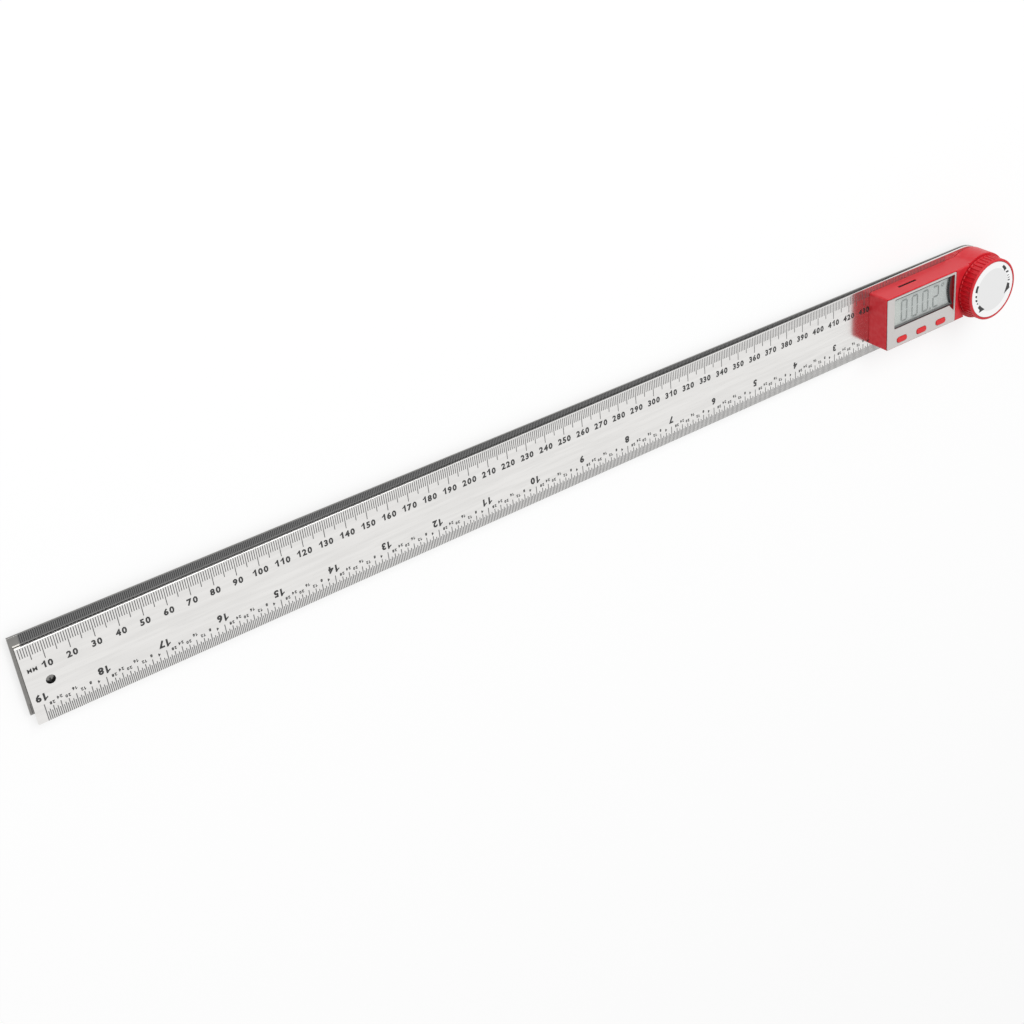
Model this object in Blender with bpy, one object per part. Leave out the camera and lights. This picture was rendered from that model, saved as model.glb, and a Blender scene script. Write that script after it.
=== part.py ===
"""Digital angle ruler: two steel rules on one pivot, with a display head and a locking knob.

Lengths are in metres. The tool lies on its back. X runs along the front rule towards the pivot, Y across it
towards the millimetre edge, and Z out of its scale face. The origin is on the pivot's axis, on the flat
underside of the rear cap that the tool rests on.
"""

import math

import bmesh
import bpy

MM = 0.001

# Driving dimensions of the two rules
SCALE_LENGTH = 500.0 * MM  # from the front rule's tip to the pivot's axis
REAR_RULE_REACH = 501.4 * MM  # from the rear rule's tip to the pivot's axis
RULE_WIDTH = 36.0 * MM
RULE_THICKNESS = 1.0 * MM
RULE_END_SETBACK = 2.5 * MM  # the round end's centre lies this far before the pivot
HANG_HOLE_RADIUS = 1.95 * MM
HANG_HOLE_FROM_TIP = 9.5 * MM
HANG_HOLE_OFF_CENTRE = 0.6 * MM  # towards the inch edge
REST_ANGLE = math.radians(-0.55)  # the rear rule as it stands in the photo

# Driving dimensions of the head
HEAD_END_RADIUS = 18.0 * MM  # the box's hollow end, round the pivot's axis
HEAD_LEFT_FROM_PIVOT = 66.5 * MM
HEAD_UPPER_SIDE = 15.0 * MM  # from the pivot's axis to the side nearer the millimetre edge
HEAD_LOWER_SIDE = 12.7 * MM  # from the pivot's axis to the side nearer the inch edge
HEAD_HEIGHT = 12.3 * MM  # above the front rule's face
HEAD_CORNER_RADIUS = 1.2 * MM
HEAD_EDGE_CHAMFER = 0.5 * MM
SIDE_WALL = 1.5 * MM
CAVITY_CORNER = 0.6 * MM
CAVITY_STEP = 0.2 * MM  # the cavity draws in by this beside the display
FRONT_WALL = 1.9 * MM
ROUND_RADIUS = 17.0 * MM
ROUND_HEIGHT = 10.7 * MM
ROUND_FRONT_WALL = 1.6 * MM

# Driving dimensions of the knob
KNOB_RADIUS = 15.8 * MM
KNOB_HEIGHT = 7.5 * MM
KNOB_GROOVES = 42
KNOB_GROOVE_DEPTH = 0.75 * MM
KNOB_GROOVE_OPEN_SHARE = 0.74  # of a groove's pitch, at the groove's mouth
KNOB_GROOVE_FLOOR_SHARE = 0.5  # of a groove's pitch, at the groove's floor
KNOB_PLAIN_BASE = 0.3 * MM
KNOB_GROOVE_RUNOUT = 0.25 * MM
KNOB_RIM_CHAMFER = 0.6 * MM
KNOB_RECESS_RADIUS = 14.6 * MM
KNOB_RECESS_DEPTH = 1.0 * MM
KNOB_CAVITY_RADIUS = 13.9 * MM
KNOB_TOP_WALL = 1.9 * MM
KNOB_NUT_CEILING_WALL = 1.5 * MM
KNOB_BOSS_RADIUS = 5.7 * MM
KNOB_DISC_THICKNESS = 0.6 * MM

# Clearances
SEAT_GAP = 0.3 * MM  # between pieces that touch
SIDE_GAP = 0.2 * MM  # round a piece that sits in an opening
RUN_GAP = 0.1 * MM  # radial, where one piece turns in another
OVERRUN = 1.0 * MM  # how far a cutter passes a face
FUSE = 0.5 * MM  # how far a boss reaches into the wall that carries it

# The pivot, from the back
CAP_RADIUS = 15.0 * MM
CAP_FLOOR = 0.8 * MM
CAP_CHAMFER = 0.6 * MM
FLANGE_RADIUS = 12.0 * MM
FLANGE_THICKNESS = 1.6 * MM
HUB_RADIUS = 8.0 * MM
HUB_NECK_RADIUS = 6.0 * MM
SPINDLE_RADIUS = 3.0 * MM
SPINDLE_FLAT = 2.2 * MM  # from the axis to each of the spindle's two flats
SPINDLE_HEAD_RADIUS = 5.5 * MM
SPINDLE_HEAD_THICKNESS = 0.8 * MM
RIVET_RADIUS = 1.0 * MM
RIVET_HEAD_RADIUS = 1.75 * MM
RIVET_HEAD_HEIGHT = 0.5 * MM
RIVET_CIRCLE_RADIUS = 10.0 * MM
RIVETS = 3
FLUSH_DROP = 0.05 * MM  # a countersunk head lies this far below its face
NUT_RADIUS = 4.0 * MM
NUT_TOP_GAP = 0.3 * MM
WASHER_THICKNESS = 0.4 * MM
WASHER_INNER_RADIUS = 3.4 * MM
WASHER_OUTER_RADIUS = 5.3 * MM
WASHER_ROOM = 1.0 * MM  # from the head's face to the knob's boss
KEY_BOSS_RADIUS = 6.0 * MM
KEY_BOSS_DEPTH = 3.9 * MM
KEY_START_GAP = 0.3 * MM

# Inside the head; a level is a height above the front rule's face
BASE_THICKNESS = 1.0 * MM
SENSOR_THICKNESS = 0.8 * MM
ROTOR_RADIUS = 13.0 * MM
STATOR_RADIUS = 13.8 * MM
SENSOR_GAP = 0.6 * MM
STATOR_POST_RADIUS = 1.5 * MM
STATOR_POST_CIRCLE = 11.0 * MM
STATOR_POSTS = 3
BOARD_LEVEL = 4.9 * MM
BOARD_THICKNESS = 0.8 * MM
BOARD_RIGHT_FROM_PIVOT = 23.2 * MM
SLOT_LEFT_FROM_PIVOT = 52.4 * MM
SLOT_LENGTH = 11.9 * MM
SLOT_HEIGHT = 1.6 * MM
SCREW_RADIUS = 1.0 * MM
SCREW_HEAD_RADIUS = 1.8 * MM
SCREW_HEAD_HEIGHT = 0.6 * MM
SCREW_LENGTH = 6.6 * MM
BOSS_RADIUS = 2.2 * MM
BOSS_TOP_LEVEL = 7.9 * MM
BOSS_FROM_LEFT_WALL = 1.6 * MM  # from the inner face of the wall to the screw's axis
BOSS_FROM_SIDE_WALL = 1.6 * MM
RIGHT_BOSS_FROM_PIVOT = 20.5 * MM
BOARD_SCREW_RADIUS = 0.8 * MM
BOARD_SCREW_HEAD_RADIUS = 1.6 * MM
BOARD_SCREW_HEAD_HEIGHT = 0.8 * MM
BOARD_SCREW_LENGTH = 4.2 * MM
BOARD_POST_RADIUS = 1.7 * MM
DOME_RADIUS = 2.0 * MM
DOME_HEIGHT = 0.6 * MM
STRIP_WIDTH = 1.4 * MM
STRIP_INSET = 0.8 * MM  # from the display glass's edge
STRIP_END_INSET = 3.0 * MM
CHIP_SIDE = 7.0 * MM
CHIP_HEIGHT = 1.2 * MM
CRYSTAL_LENGTH = 6.0 * MM
CRYSTAL_WIDTH = 2.0 * MM
CHIP_SPACING = 10.0 * MM
RIBBON_WIDTH = 6.0 * MM
RIBBON_THICKNESS = 0.2 * MM
RIBBON_LAP = 2.6 * MM  # under the board and over the stator disc

# The battery and its cover
CELL_RADIUS = 10.0 * MM
CELL_HEIGHT = 3.2 * MM
CELL_CAP_RADIUS = 8.7 * MM
CELL_CAP_HEIGHT = 0.6 * MM
CELL_FROM_PIVOT = 45.0 * MM
COVER_RADIUS = 12.0 * MM
COVER_FLOOR = 1.0 * MM
COVER_SINK = 0.1 * MM  # the cover's outer face lies this far inside the rule's back face
COVER_RING_RADIUS = 11.2 * MM
COVER_RING_TOP = 2.2 * MM  # level
LUG_THICKNESS = 0.6 * MM
LUG_SPAN = math.radians(20.0)
NOTCH_MARGIN = math.radians(3.0)
UNLOCK_TURN = math.radians(45.0)
LUGS = 3
COIN_SLOT_LENGTH = 12.0 * MM
COIN_SLOT_WIDTH = 1.6 * MM
COIN_SLOT_DEPTH = 0.5 * MM
CONTACT_THICKNESS = 0.3 * MM
CONTACT_LENGTH = 8.0 * MM
CONTACT_WIDTH = 3.0 * MM
SIDE_CONTACT_WIDTH = 4.0 * MM
SIDE_CONTACT_DROP = 2.0 * MM

# The face plate and the display
PLATE_THICKNESS = 0.4 * MM
PLATE_LEFT_MARGIN = 0.3 * MM
PLATE_END_MARGIN = 1.7 * MM  # from the box's hollow end
PLATE_UPPER_MARGIN = 0.7 * MM
PLATE_LOWER_MARGIN = 0.5 * MM
PLATE_CORNER = 0.4 * MM
WINDOW_LEFT_FROM_PIVOT = 61.6 * MM
WINDOW_END_MARGIN = 0.9 * MM  # from the plate's right edge
WINDOW_UPPER = 13.3 * MM  # from the pivot's axis line
WINDOW_LOWER = 2.6 * MM  # from the pivot's axis line, towards the inch edge
WINDOW_CORNER = 0.8 * MM
WINDOW_POCKET_DEPTH = 1.2 * MM  # the red floor beside the display, below the plate's face
RECESS_ARC_RADIUS = 18.0 * MM  # the pocket's edge where it runs on below the window
RECESS_ARC_FROM_WINDOW = 11.6 * MM  # its centre, from the window's right edge
RECESS_ARC_ABOVE_AXIS = 7.7 * MM  # its centre, from the pivot's axis line
DISPLAY_ARC_RADIUS = 17.1 * MM  # the display frame's hollow right end
DISPLAY_ARC_ABOVE_AXIS = 6.2 * MM  # its centre, from the pivot's axis line
DISPLAY_FROM_WINDOW_END = 3.0 * MM  # from the window's right edge to the frame, where it is deepest
FRAME_BAND = 0.3 * MM
FRAME_END_BAND = 0.8 * MM  # at the hollow right end
FRAME_BOTTOM_LEVEL = 8.2 * MM
FRAME_TOP_LEVEL = 11.6 * MM
FRAME_INSET = 0.1 * MM
GLASS_THICKNESS = 2.0 * MM
LENS_THICKNESS = 0.4 * MM

# The buttons
BUTTON_LENGTH = 6.6 * MM
BUTTON_WIDTH = 2.9 * MM
BUTTON_PROUD = 0.5 * MM
BUTTON_FIRST_FROM_PIVOT = 56.3 * MM
BUTTON_PITCH = 13.3 * MM
BUTTON_BELOW_AXIS = 9.1 * MM
BUTTON_EDGE_CHAMFER = 0.25 * MM
BUTTON_FLANGE_MARGIN_X = 0.6 * MM
BUTTON_FLANGE_MARGIN_Y = 0.3 * MM
BUTTON_FLANGE_THICKNESS = 1.0 * MM
BUTTON_STEM_LENGTH = 2.4 * MM
BUTTON_STEM_WIDTH = 1.6 * MM
BUTTON_STROKE_ROOM = 0.6 * MM  # between a button's stem and its dome
BUTTON_NAMES = ("button_left", "button_middle", "button_right")
DOME_NAMES = ("dome_switch_left", "dome_switch_middle", "dome_switch_right")

# Facets
ROUND_STEPS = 48  # of the large round faces that show
INNER_STEPS = 32  # of the round pieces inside
SMALL_STEPS = 12  # of a screw, rivet or post
CORNER_STEPS = 3
ARC_STEPS = 10
SECTOR_STEPS = 4
RULE_END_STEPS = 24
SMOOTH_ANGLE = math.radians(35.0)

# Heights along the pivot, worked out from the back
FLANGE_Z = CAP_FLOOR + SEAT_GAP
FLANGE_TOP_Z = FLANGE_Z + FLANGE_THICKNESS
REAR_RULE_Z = FLANGE_TOP_Z + SEAT_GAP
REAR_RULE_TOP_Z = REAR_RULE_Z + RULE_THICKNESS
FRONT_RULE_Z = REAR_RULE_TOP_Z + SEAT_GAP
FACE_Z = FRONT_RULE_Z + RULE_THICKNESS
SHELL_Z = FACE_Z + SEAT_GAP
BASE_TOP_Z = SHELL_Z + BASE_THICKNESS
HUB_SHOULDER_Z = BASE_TOP_Z + SEAT_GAP
ROTOR_Z = HUB_SHOULDER_Z + SEAT_GAP
ROTOR_TOP_Z = ROTOR_Z + SENSOR_THICKNESS
STATOR_Z = ROTOR_TOP_Z + SENSOR_GAP
STATOR_TOP_Z = STATOR_Z + SENSOR_THICKNESS
ROUND_TOP_Z = FACE_Z + ROUND_HEIGHT
ROUND_CEILING_Z = ROUND_TOP_Z - ROUND_FRONT_WALL
HEAD_TOP_Z = FACE_Z + HEAD_HEIGHT
HEAD_CEILING_Z = HEAD_TOP_Z - FRONT_WALL
KNOB_Z = ROUND_TOP_Z + SEAT_GAP
KNOB_TOP_Z = KNOB_Z + KNOB_HEIGHT
KNOB_BOSS_Z = ROUND_TOP_Z + WASHER_ROOM
KNOB_FLOOR_Z = KNOB_TOP_Z - KNOB_RECESS_DEPTH
KNOB_NUT_CEILING_Z = KNOB_FLOOR_Z - KNOB_NUT_CEILING_WALL
KNOB_CEILING_Z = KNOB_FLOOR_Z - KNOB_TOP_WALL
KEY_BOSS_Z = ROUND_CEILING_Z - KEY_BOSS_DEPTH
BOARD_Z = FACE_Z + BOARD_LEVEL
BOARD_TOP_Z = BOARD_Z + BOARD_THICKNESS
COVER_Z = FRONT_RULE_Z + COVER_SINK
COVER_TOP_Z = COVER_Z + COVER_FLOOR
CELL_Z = COVER_TOP_Z + SEAT_GAP
CELL_TOP_Z = CELL_Z + CELL_HEIGHT
PLATE_Z = HEAD_TOP_Z - PLATE_THICKNESS
FRAME_Z = FACE_Z + FRAME_BOTTOM_LEVEL
FRAME_TOP_Z = FACE_Z + FRAME_TOP_LEVEL
GLASS_Z = FRAME_Z + SEAT_GAP
LENS_Z = GLASS_Z + GLASS_THICKNESS + SEAT_GAP

# Places across the head, worked out from the pivot's axis
HEAD_LEFT = -HEAD_LEFT_FROM_PIVOT
HEAD_RIGHT = -HEAD_END_RADIUS
CAVITY_LEFT = HEAD_LEFT + SIDE_WALL
CAVITY_RIGHT = HEAD_RIGHT - SIDE_WALL
CAVITY_UPPER = HEAD_UPPER_SIDE - SIDE_WALL
CAVITY_LOWER = -HEAD_LOWER_SIDE + SIDE_WALL
CAVITY_MIDDLE = (CAVITY_UPPER + CAVITY_LOWER) / 2
CELL_X = -CELL_FROM_PIVOT
PLATE_LEFT = HEAD_LEFT + PLATE_LEFT_MARGIN
PLATE_RIGHT = HEAD_RIGHT - PLATE_END_MARGIN
PLATE_UPPER = HEAD_UPPER_SIDE - PLATE_UPPER_MARGIN
PLATE_LOWER = -HEAD_LOWER_SIDE + PLATE_LOWER_MARGIN
WINDOW_LEFT = -WINDOW_LEFT_FROM_PIVOT
WINDOW_RIGHT = PLATE_RIGHT - WINDOW_END_MARGIN
DISPLAY_RIGHT = WINDOW_RIGHT - DISPLAY_FROM_WINDOW_END
BUTTON_PLACES = [
    (-BUTTON_FIRST_FROM_PIVOT + i * BUTTON_PITCH, -BUTTON_BELOW_AXIS) for i in range(len(BUTTON_NAMES))
]
BOARD_POST_PLACES = [
    ((a[0] + b[0]) / 2, a[1]) for a, b in zip(BUTTON_PLACES, BUTTON_PLACES[1:], strict=False)
]
RULE_SCREW_PLACES = [
    (x, y)
    for x in (CAVITY_LEFT + BOSS_FROM_LEFT_WALL, -RIGHT_BOSS_FROM_PIVOT)
    for y in (CAVITY_UPPER - BOSS_FROM_SIDE_WALL, CAVITY_LOWER + BOSS_FROM_SIDE_WALL)
]

STEEL = "stainless_steel"
RED = "red_plastic"
BLACK = "black_plastic"
SILVER = "silver_plate"
CLEAR = "clear_window"
DISPLAY = "display_glass"
BOARD = "circuit_board"
RUBBER = "contact_rubber"
BRASS = "brass"
FILM = "ribbon_film"
CHROME = "bright_steel"
WHITE = "white_disc"
MATERIALS = {
    STEEL: ((0.74, 0.73, 0.71, 1.0), 0.25, 1.0),
    RED: ((0.55, 0.02, 0.03, 1.0), 0.4, 0.0),
    BLACK: ((0.03, 0.03, 0.03, 1.0), 0.5, 0.0),
    SILVER: ((0.62, 0.6, 0.6, 1.0), 0.35, 0.8),
    CLEAR: ((0.9, 0.92, 0.9, 1.0), 0.05, 0.0),
    DISPLAY: ((0.42, 0.46, 0.44, 1.0), 0.15, 0.0),
    BOARD: ((0.03, 0.2, 0.08, 1.0), 0.4, 0.0),
    RUBBER: ((0.2, 0.2, 0.2, 1.0), 0.8, 0.0),
    BRASS: ((0.7, 0.5, 0.2, 1.0), 0.3, 1.0),
    FILM: ((0.6, 0.3, 0.06, 1.0), 0.4, 0.0),
    CHROME: ((0.7, 0.7, 0.7, 1.0), 0.2, 1.0),
    WHITE: ((0.8, 0.8, 0.8, 1.0), 0.35, 0.0),
}


def clear_scene():
    """Removes what the scene holds."""
    for obj in list(bpy.data.objects):
        bpy.data.objects.remove(obj, do_unlink=True)


def make_material(name):
    """A Principled material from the table above, made once."""
    found = bpy.data.materials.get(name)
    if found:
        return found
    colour, roughness, metallic = MATERIALS[name]
    made = bpy.data.materials.new(name)
    made.use_nodes = True
    shader = made.node_tree.nodes["Principled BSDF"]
    shader.inputs["Base Color"].default_value = colour
    shader.inputs["Roughness"].default_value = roughness
    shader.inputs["Metallic"].default_value = metallic
    return made


def place_object(name, bm, material=None, at=(0.0, 0.0, 0.0), parent=None):
    """Turns a bmesh into an object of the scene."""
    mesh = bpy.data.meshes.new(name)
    bm.to_mesh(mesh)
    bm.free()
    mesh.shade_smooth()
    mesh.set_sharp_from_angle(angle=SMOOTH_ANGLE)
    obj = bpy.data.objects.new(name, mesh)
    bpy.context.scene.collection.objects.link(obj)
    obj.location = at
    obj.parent = parent
    if material:
        mesh.materials.append(make_material(material))
    return obj


def circle(radius, x=0.0, y=0.0, steps=ROUND_STEPS):
    """An outline of points round a centre, counter-clockwise."""
    turns = [2 * math.pi * i / steps for i in range(steps)]
    return [(x + radius * math.cos(t), y + radius * math.sin(t)) for t in turns]


def arc(radius, start, end, steps, x=0.0, y=0.0):
    """Points from one angle to another, both included."""
    turns = [start + (end - start) * i / steps for i in range(steps + 1)]
    return [(x + radius * math.cos(t), y + radius * math.sin(t)) for t in turns]


def rounded_box(left, right, lower, upper, radius):
    """An outline with round corners, counter-clockwise."""
    quarter = math.pi / 2
    corners = (
        (right, lower, -quarter),
        (right, upper, 0.0),
        (left, upper, quarter),
        (left, lower, 2 * quarter),
    )
    points = []
    for x, y, start in corners:
        cx = x - radius if x == right else x + radius
        cy = y - radius if y == upper else y + radius
        points += arc(radius, start, start + quarter, CORNER_STEPS, cx, cy)
    return points


def sector(inner, outer, middle, span, x=0.0, y=0.0):
    """The outline of a piece of a ring."""
    start, end = middle - span / 2, middle + span / 2
    return arc(outer, start, end, SECTOR_STEPS, x, y) + arc(inner, end, start, SECTOR_STEPS, x, y)


def loft(sections):
    """A closed body through outlines of equal count, each with its height, from the lowest up."""
    bm = bmesh.new()
    rings = [[bm.verts.new((x, y, z)) for x, y in outline] for outline, z in sections]
    count = len(rings[0])
    for lower, upper in zip(rings, rings[1:], strict=False):
        for i in range(count):
            j = (i + 1) % count
            bm.faces.new((lower[i], lower[j], upper[j], upper[i]))
    bm.faces.new(list(reversed(rings[0])))
    bm.faces.new(rings[-1])
    return bm


def prism(outline, bottom, top):
    """A straight body on an outline."""
    return loft([(outline, bottom), (outline, top)])


def turned(profile, steps=INNER_STEPS):
    """A body turned about Z from a counter-clockwise profile of (radius, height) points."""
    bm = bmesh.new()
    rings = []
    for radius, z in profile:
        if radius == 0.0:
            rings.append([bm.verts.new((0.0, 0.0, z))] * steps)
        else:
            rings.append([bm.verts.new((x, y, z)) for x, y in circle(radius, steps=steps)])
    for lower, upper in zip(rings, rings[1:] + rings[:1], strict=True):
        on_axis = lower[0] is lower[1], upper[0] is upper[1]
        for i in range(steps):
            j = (i + 1) % steps
            if all(on_axis):
                continue
            if on_axis[0]:
                bm.faces.new((lower[i], upper[j], upper[i]))
            elif on_axis[1]:
                bm.faces.new((lower[i], lower[j], upper[i]))
            else:
                bm.faces.new((lower[i], lower[j], upper[j], upper[i]))
    return bm


def ring_profile(inner, outer, bottom, top):
    """The profile of a flat ring."""
    return [(inner, bottom), (outer, bottom), (outer, top), (inner, top)]


def merge(*bodies):
    """Several bodies in one bmesh; they must stand apart."""
    bm = bmesh.new()
    for body in bodies:
        mesh = bpy.data.meshes.new("part")
        body.to_mesh(mesh)
        body.free()
        bm.from_mesh(mesh)
        bpy.data.meshes.remove(mesh)
    return bm


def shifted(bm, x, y, z=0.0):
    """Moves a body."""
    bmesh.ops.translate(bm, verts=bm.verts, vec=(x, y, z))
    return bm


def combine(target, bm, operation, parent=None):
    """Joins a body to an object, or cuts it out of it, with a live Boolean."""
    tool = place_object(target.name + "_tool", bm, parent=parent)
    tool.hide_render = True
    tool.display_type = "WIRE"
    modifier = target.modifiers.new(operation.lower(), "BOOLEAN")
    modifier.operation = operation
    modifier.solver = "EXACT"
    modifier.object = tool


def cut(target, *bodies, parent=None):
    """Cuts bodies that stand apart out of an object."""
    combine(target, merge(*bodies), "DIFFERENCE", parent)


def join(target, *bodies):
    """Fuses bodies that stand apart to an object."""
    combine(target, merge(*bodies), "UNION")


def rule_outline(reach):
    """A rule's outline: square at the tip, round past the pivot."""
    half = RULE_WIDTH / 2
    end = arc(half, -math.pi / 2, math.pi / 2, RULE_END_STEPS, -RULE_END_SETBACK)
    return [(-reach, -half), *end, (-reach, half)]


def through(radius, x, y, bottom, top, steps=SMALL_STEPS):
    """A round cutter that passes both faces."""
    return prism(circle(radius, x, y, steps), bottom - OVERRUN, top + OVERRUN)


def cone(radius, head_radius, height, wide_z, narrow_z, x, y):
    """A countersink's shape: wide at one height and narrow at the other, run on past the wide end."""
    slope = (head_radius - radius) / height
    away = math.copysign(height, wide_z - narrow_z)
    ends = [(radius, narrow_z), (head_radius, wide_z), (head_radius + slope * height, wide_z + away)]
    ends.sort(key=lambda end: end[1])
    return loft([(circle(r, x, y, SMALL_STEPS), z) for r, z in ends])


def make_front_rule():
    """The steel rule under the head, with its bore, battery hole, screw holes and hang hole."""
    rule = place_object("front_rule", prism(rule_outline(SCALE_LENGTH), FRONT_RULE_Z, FACE_Z), STEEL)
    hang_x = -SCALE_LENGTH + HANG_HOLE_FROM_TIP
    cut(
        rule,
        through(HANG_HOLE_RADIUS, hang_x, -HANG_HOLE_OFF_CENTRE, FRONT_RULE_Z, FACE_Z),
        through(HUB_RADIUS + RUN_GAP, 0.0, 0.0, FRONT_RULE_Z, FACE_Z, ROUND_STEPS),
        through(COVER_RADIUS + SEAT_GAP, CELL_X, CAVITY_MIDDLE, FRONT_RULE_Z, FACE_Z, ROUND_STEPS),
    )
    hole = SCREW_RADIUS + SIDE_GAP
    sink = FRONT_RULE_Z + SCREW_HEAD_HEIGHT
    cut(rule, *[through(hole, x, y, FRONT_RULE_Z, FACE_Z) for x, y in RULE_SCREW_PLACES])
    cut(
        rule,
        *[
            cone(hole, SCREW_HEAD_RADIUS + SIDE_GAP, SCREW_HEAD_HEIGHT, FRONT_RULE_Z, sink, x, y)
            for x, y in RULE_SCREW_PLACES
        ],
    )


def rivet_places():
    """Where the hub's rivets stand."""
    return circle(RIVET_CIRCLE_RADIUS, steps=RIVETS)


def make_rear_rule(arm):
    """The steel rule that turns with the hub."""
    rule = place_object(
        "rear_rule", prism(rule_outline(REAR_RULE_REACH), REAR_RULE_Z, REAR_RULE_TOP_Z), STEEL, parent=arm
    )
    hang_x = -REAR_RULE_REACH + HANG_HOLE_FROM_TIP
    hole = RIVET_RADIUS + SIDE_GAP
    cut(
        rule,
        through(HANG_HOLE_RADIUS, hang_x, HANG_HOLE_OFF_CENTRE, REAR_RULE_Z, REAR_RULE_TOP_Z),
        through(HUB_RADIUS + SIDE_GAP, 0.0, 0.0, REAR_RULE_Z, REAR_RULE_TOP_Z, ROUND_STEPS),
        *[through(hole, x, y, REAR_RULE_Z, REAR_RULE_TOP_Z) for x, y in rivet_places()],
        parent=arm,
    )
    sink = REAR_RULE_TOP_Z - RIVET_HEAD_HEIGHT
    cut(
        rule,
        *[
            cone(hole, RIVET_HEAD_RADIUS + SIDE_GAP, RIVET_HEAD_HEIGHT, REAR_RULE_TOP_Z, sink, x, y)
            for x, y in rivet_places()
        ],
        parent=arm,
    )


def make_pivot_hub(arm):
    """The stepped hub: flange behind the rear rule, spigot through both rules, neck for the rotor disc."""
    bore = SPINDLE_RADIUS + RUN_GAP
    pocket = SPINDLE_HEAD_RADIUS + SEAT_GAP
    pocket_z = FLANGE_Z + SPINDLE_HEAD_THICKNESS + SEAT_GAP
    profile = [
        (pocket, FLANGE_Z),
        (FLANGE_RADIUS, FLANGE_Z),
        (FLANGE_RADIUS, FLANGE_TOP_Z),
        (HUB_RADIUS, FLANGE_TOP_Z),
        (HUB_RADIUS, HUB_SHOULDER_Z),
        (HUB_NECK_RADIUS, HUB_SHOULDER_Z),
        (HUB_NECK_RADIUS, ROTOR_TOP_Z + SEAT_GAP),
        (bore, ROTOR_TOP_Z + SEAT_GAP),
        (bore, pocket_z),
        (pocket, pocket_z),
    ]
    hub = place_object("pivot_hub", turned(profile), CHROME, parent=arm)
    hole = RIVET_RADIUS + SIDE_GAP
    cut(hub, *[through(hole, x, y, FLANGE_Z, FLANGE_TOP_Z) for x, y in rivet_places()], parent=arm)


def make_hub_rivets(arm):
    """Three countersunk rivets through the hub's flange and the rear rule."""
    head_z = REAR_RULE_TOP_Z - FLUSH_DROP
    for i, (x, y) in enumerate(rivet_places()):
        sections = (
            (RIVET_RADIUS, FLANGE_Z),
            (RIVET_RADIUS, head_z - RIVET_HEAD_HEIGHT),
            (RIVET_HEAD_RADIUS, head_z),
        )
        body = loft([(circle(r, x, y, SMALL_STEPS), z) for r, z in sections])
        place_object(f"hub_rivet_{i + 1}", body, CHROME, parent=arm)


def make_rear_cap(arm):
    """The cap over the hub's flange; the tool rests on its flat underside."""
    inner = FLANGE_RADIUS + SEAT_GAP
    rim_z = REAR_RULE_Z - SEAT_GAP
    profile = [
        (0.0, 0.0),
        (CAP_RADIUS - CAP_CHAMFER, 0.0),
        (CAP_RADIUS, CAP_CHAMFER),
        (CAP_RADIUS, rim_z),
        (inner, rim_z),
        (inner, CAP_FLOOR),
        (0.0, CAP_FLOOR),
    ]
    place_object("rear_cap", turned(profile, ROUND_STEPS), BLACK, parent=arm)


def make_rotor_disc(arm):
    """The sensor disc on the hub's neck."""
    profile = ring_profile(HUB_NECK_RADIUS + SIDE_GAP, ROTOR_RADIUS, ROTOR_Z, ROTOR_TOP_Z)
    place_object("rotor_disc", turned(profile), BOARD, parent=arm)


def double_d(radius, flat):
    """The outline of a round bar with two flats, top and bottom."""
    edge = math.asin(flat / radius)
    return arc(radius, -edge, edge, ARC_STEPS) + arc(radius, math.pi - edge, math.pi + edge, ARC_STEPS)


def make_lock_spindle():
    """The headed spindle through the hub, flattened where the head keys it."""
    head_top = FLANGE_Z + SPINDLE_HEAD_THICKNESS
    key_z = KEY_BOSS_Z - KEY_START_GAP
    profile = [
        (0.0, FLANGE_Z),
        (SPINDLE_HEAD_RADIUS, FLANGE_Z),
        (SPINDLE_HEAD_RADIUS, head_top),
        (SPINDLE_RADIUS, head_top),
        (SPINDLE_RADIUS, key_z),
        (0.0, key_z),
    ]
    spindle = place_object("lock_spindle", turned(profile), CHROME)
    top = KNOB_NUT_CEILING_Z - SEAT_GAP
    join(spindle, prism(double_d(SPINDLE_RADIUS, SPINDLE_FLAT), key_z - FUSE, top))


def head_outline(inset, corner):
    """The head's outline from the front, box and round part in one, drawn in by an inset."""
    left, radius = HEAD_LEFT + inset, ROUND_RADIUS - inset
    upper, lower = HEAD_UPPER_SIDE - inset, HEAD_LOWER_SIDE - inset
    turn = math.pi
    points = arc(radius, turn + math.asin(lower / radius), 3 * turn - math.asin(upper / radius), ROUND_STEPS)
    points += arc(corner, turn / 2, turn, CORNER_STEPS, left + corner, upper - corner)
    points += arc(corner, turn, 3 * turn / 2, CORNER_STEPS, left + corner, corner - lower)
    return points


def head_body():
    """The head's outer form, still solid: the box stands proud of the round part and ends in a hollow arc."""
    outer = head_outline(0.0, HEAD_CORNER_RADIUS)
    top = head_outline(HEAD_EDGE_CHAMFER, HEAD_CORNER_RADIUS - HEAD_EDGE_CHAMFER)
    sections = [(outer, SHELL_Z), (outer, HEAD_TOP_Z - HEAD_EDGE_CHAMFER), (top, HEAD_TOP_Z)]
    shell = place_object("head_shell", loft(sections), RED)
    cut(shell, prism(circle(HEAD_END_RADIUS), ROUND_TOP_Z, HEAD_TOP_Z + OVERRUN))
    return shell


def window_outline():
    """The display's opening: square on the left, and on the right a recess that runs on below the display."""
    box = rounded_box(WINDOW_LEFT, WINDOW_RIGHT, -WINDOW_LOWER, WINDOW_UPPER, WINDOW_CORNER)
    start = math.pi + math.asin((RECESS_ARC_ABOVE_AXIS + WINDOW_LOWER) / RECESS_ARC_RADIUS)
    end = math.pi + math.acos(RECESS_ARC_FROM_WINDOW / RECESS_ARC_RADIUS)
    x = WINDOW_RIGHT + RECESS_ARC_FROM_WINDOW
    recess = arc(RECESS_ARC_RADIUS, start, end, ARC_STEPS, x, RECESS_ARC_ABOVE_AXIS)
    return recess + box[CORNER_STEPS + 1 :]


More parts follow.
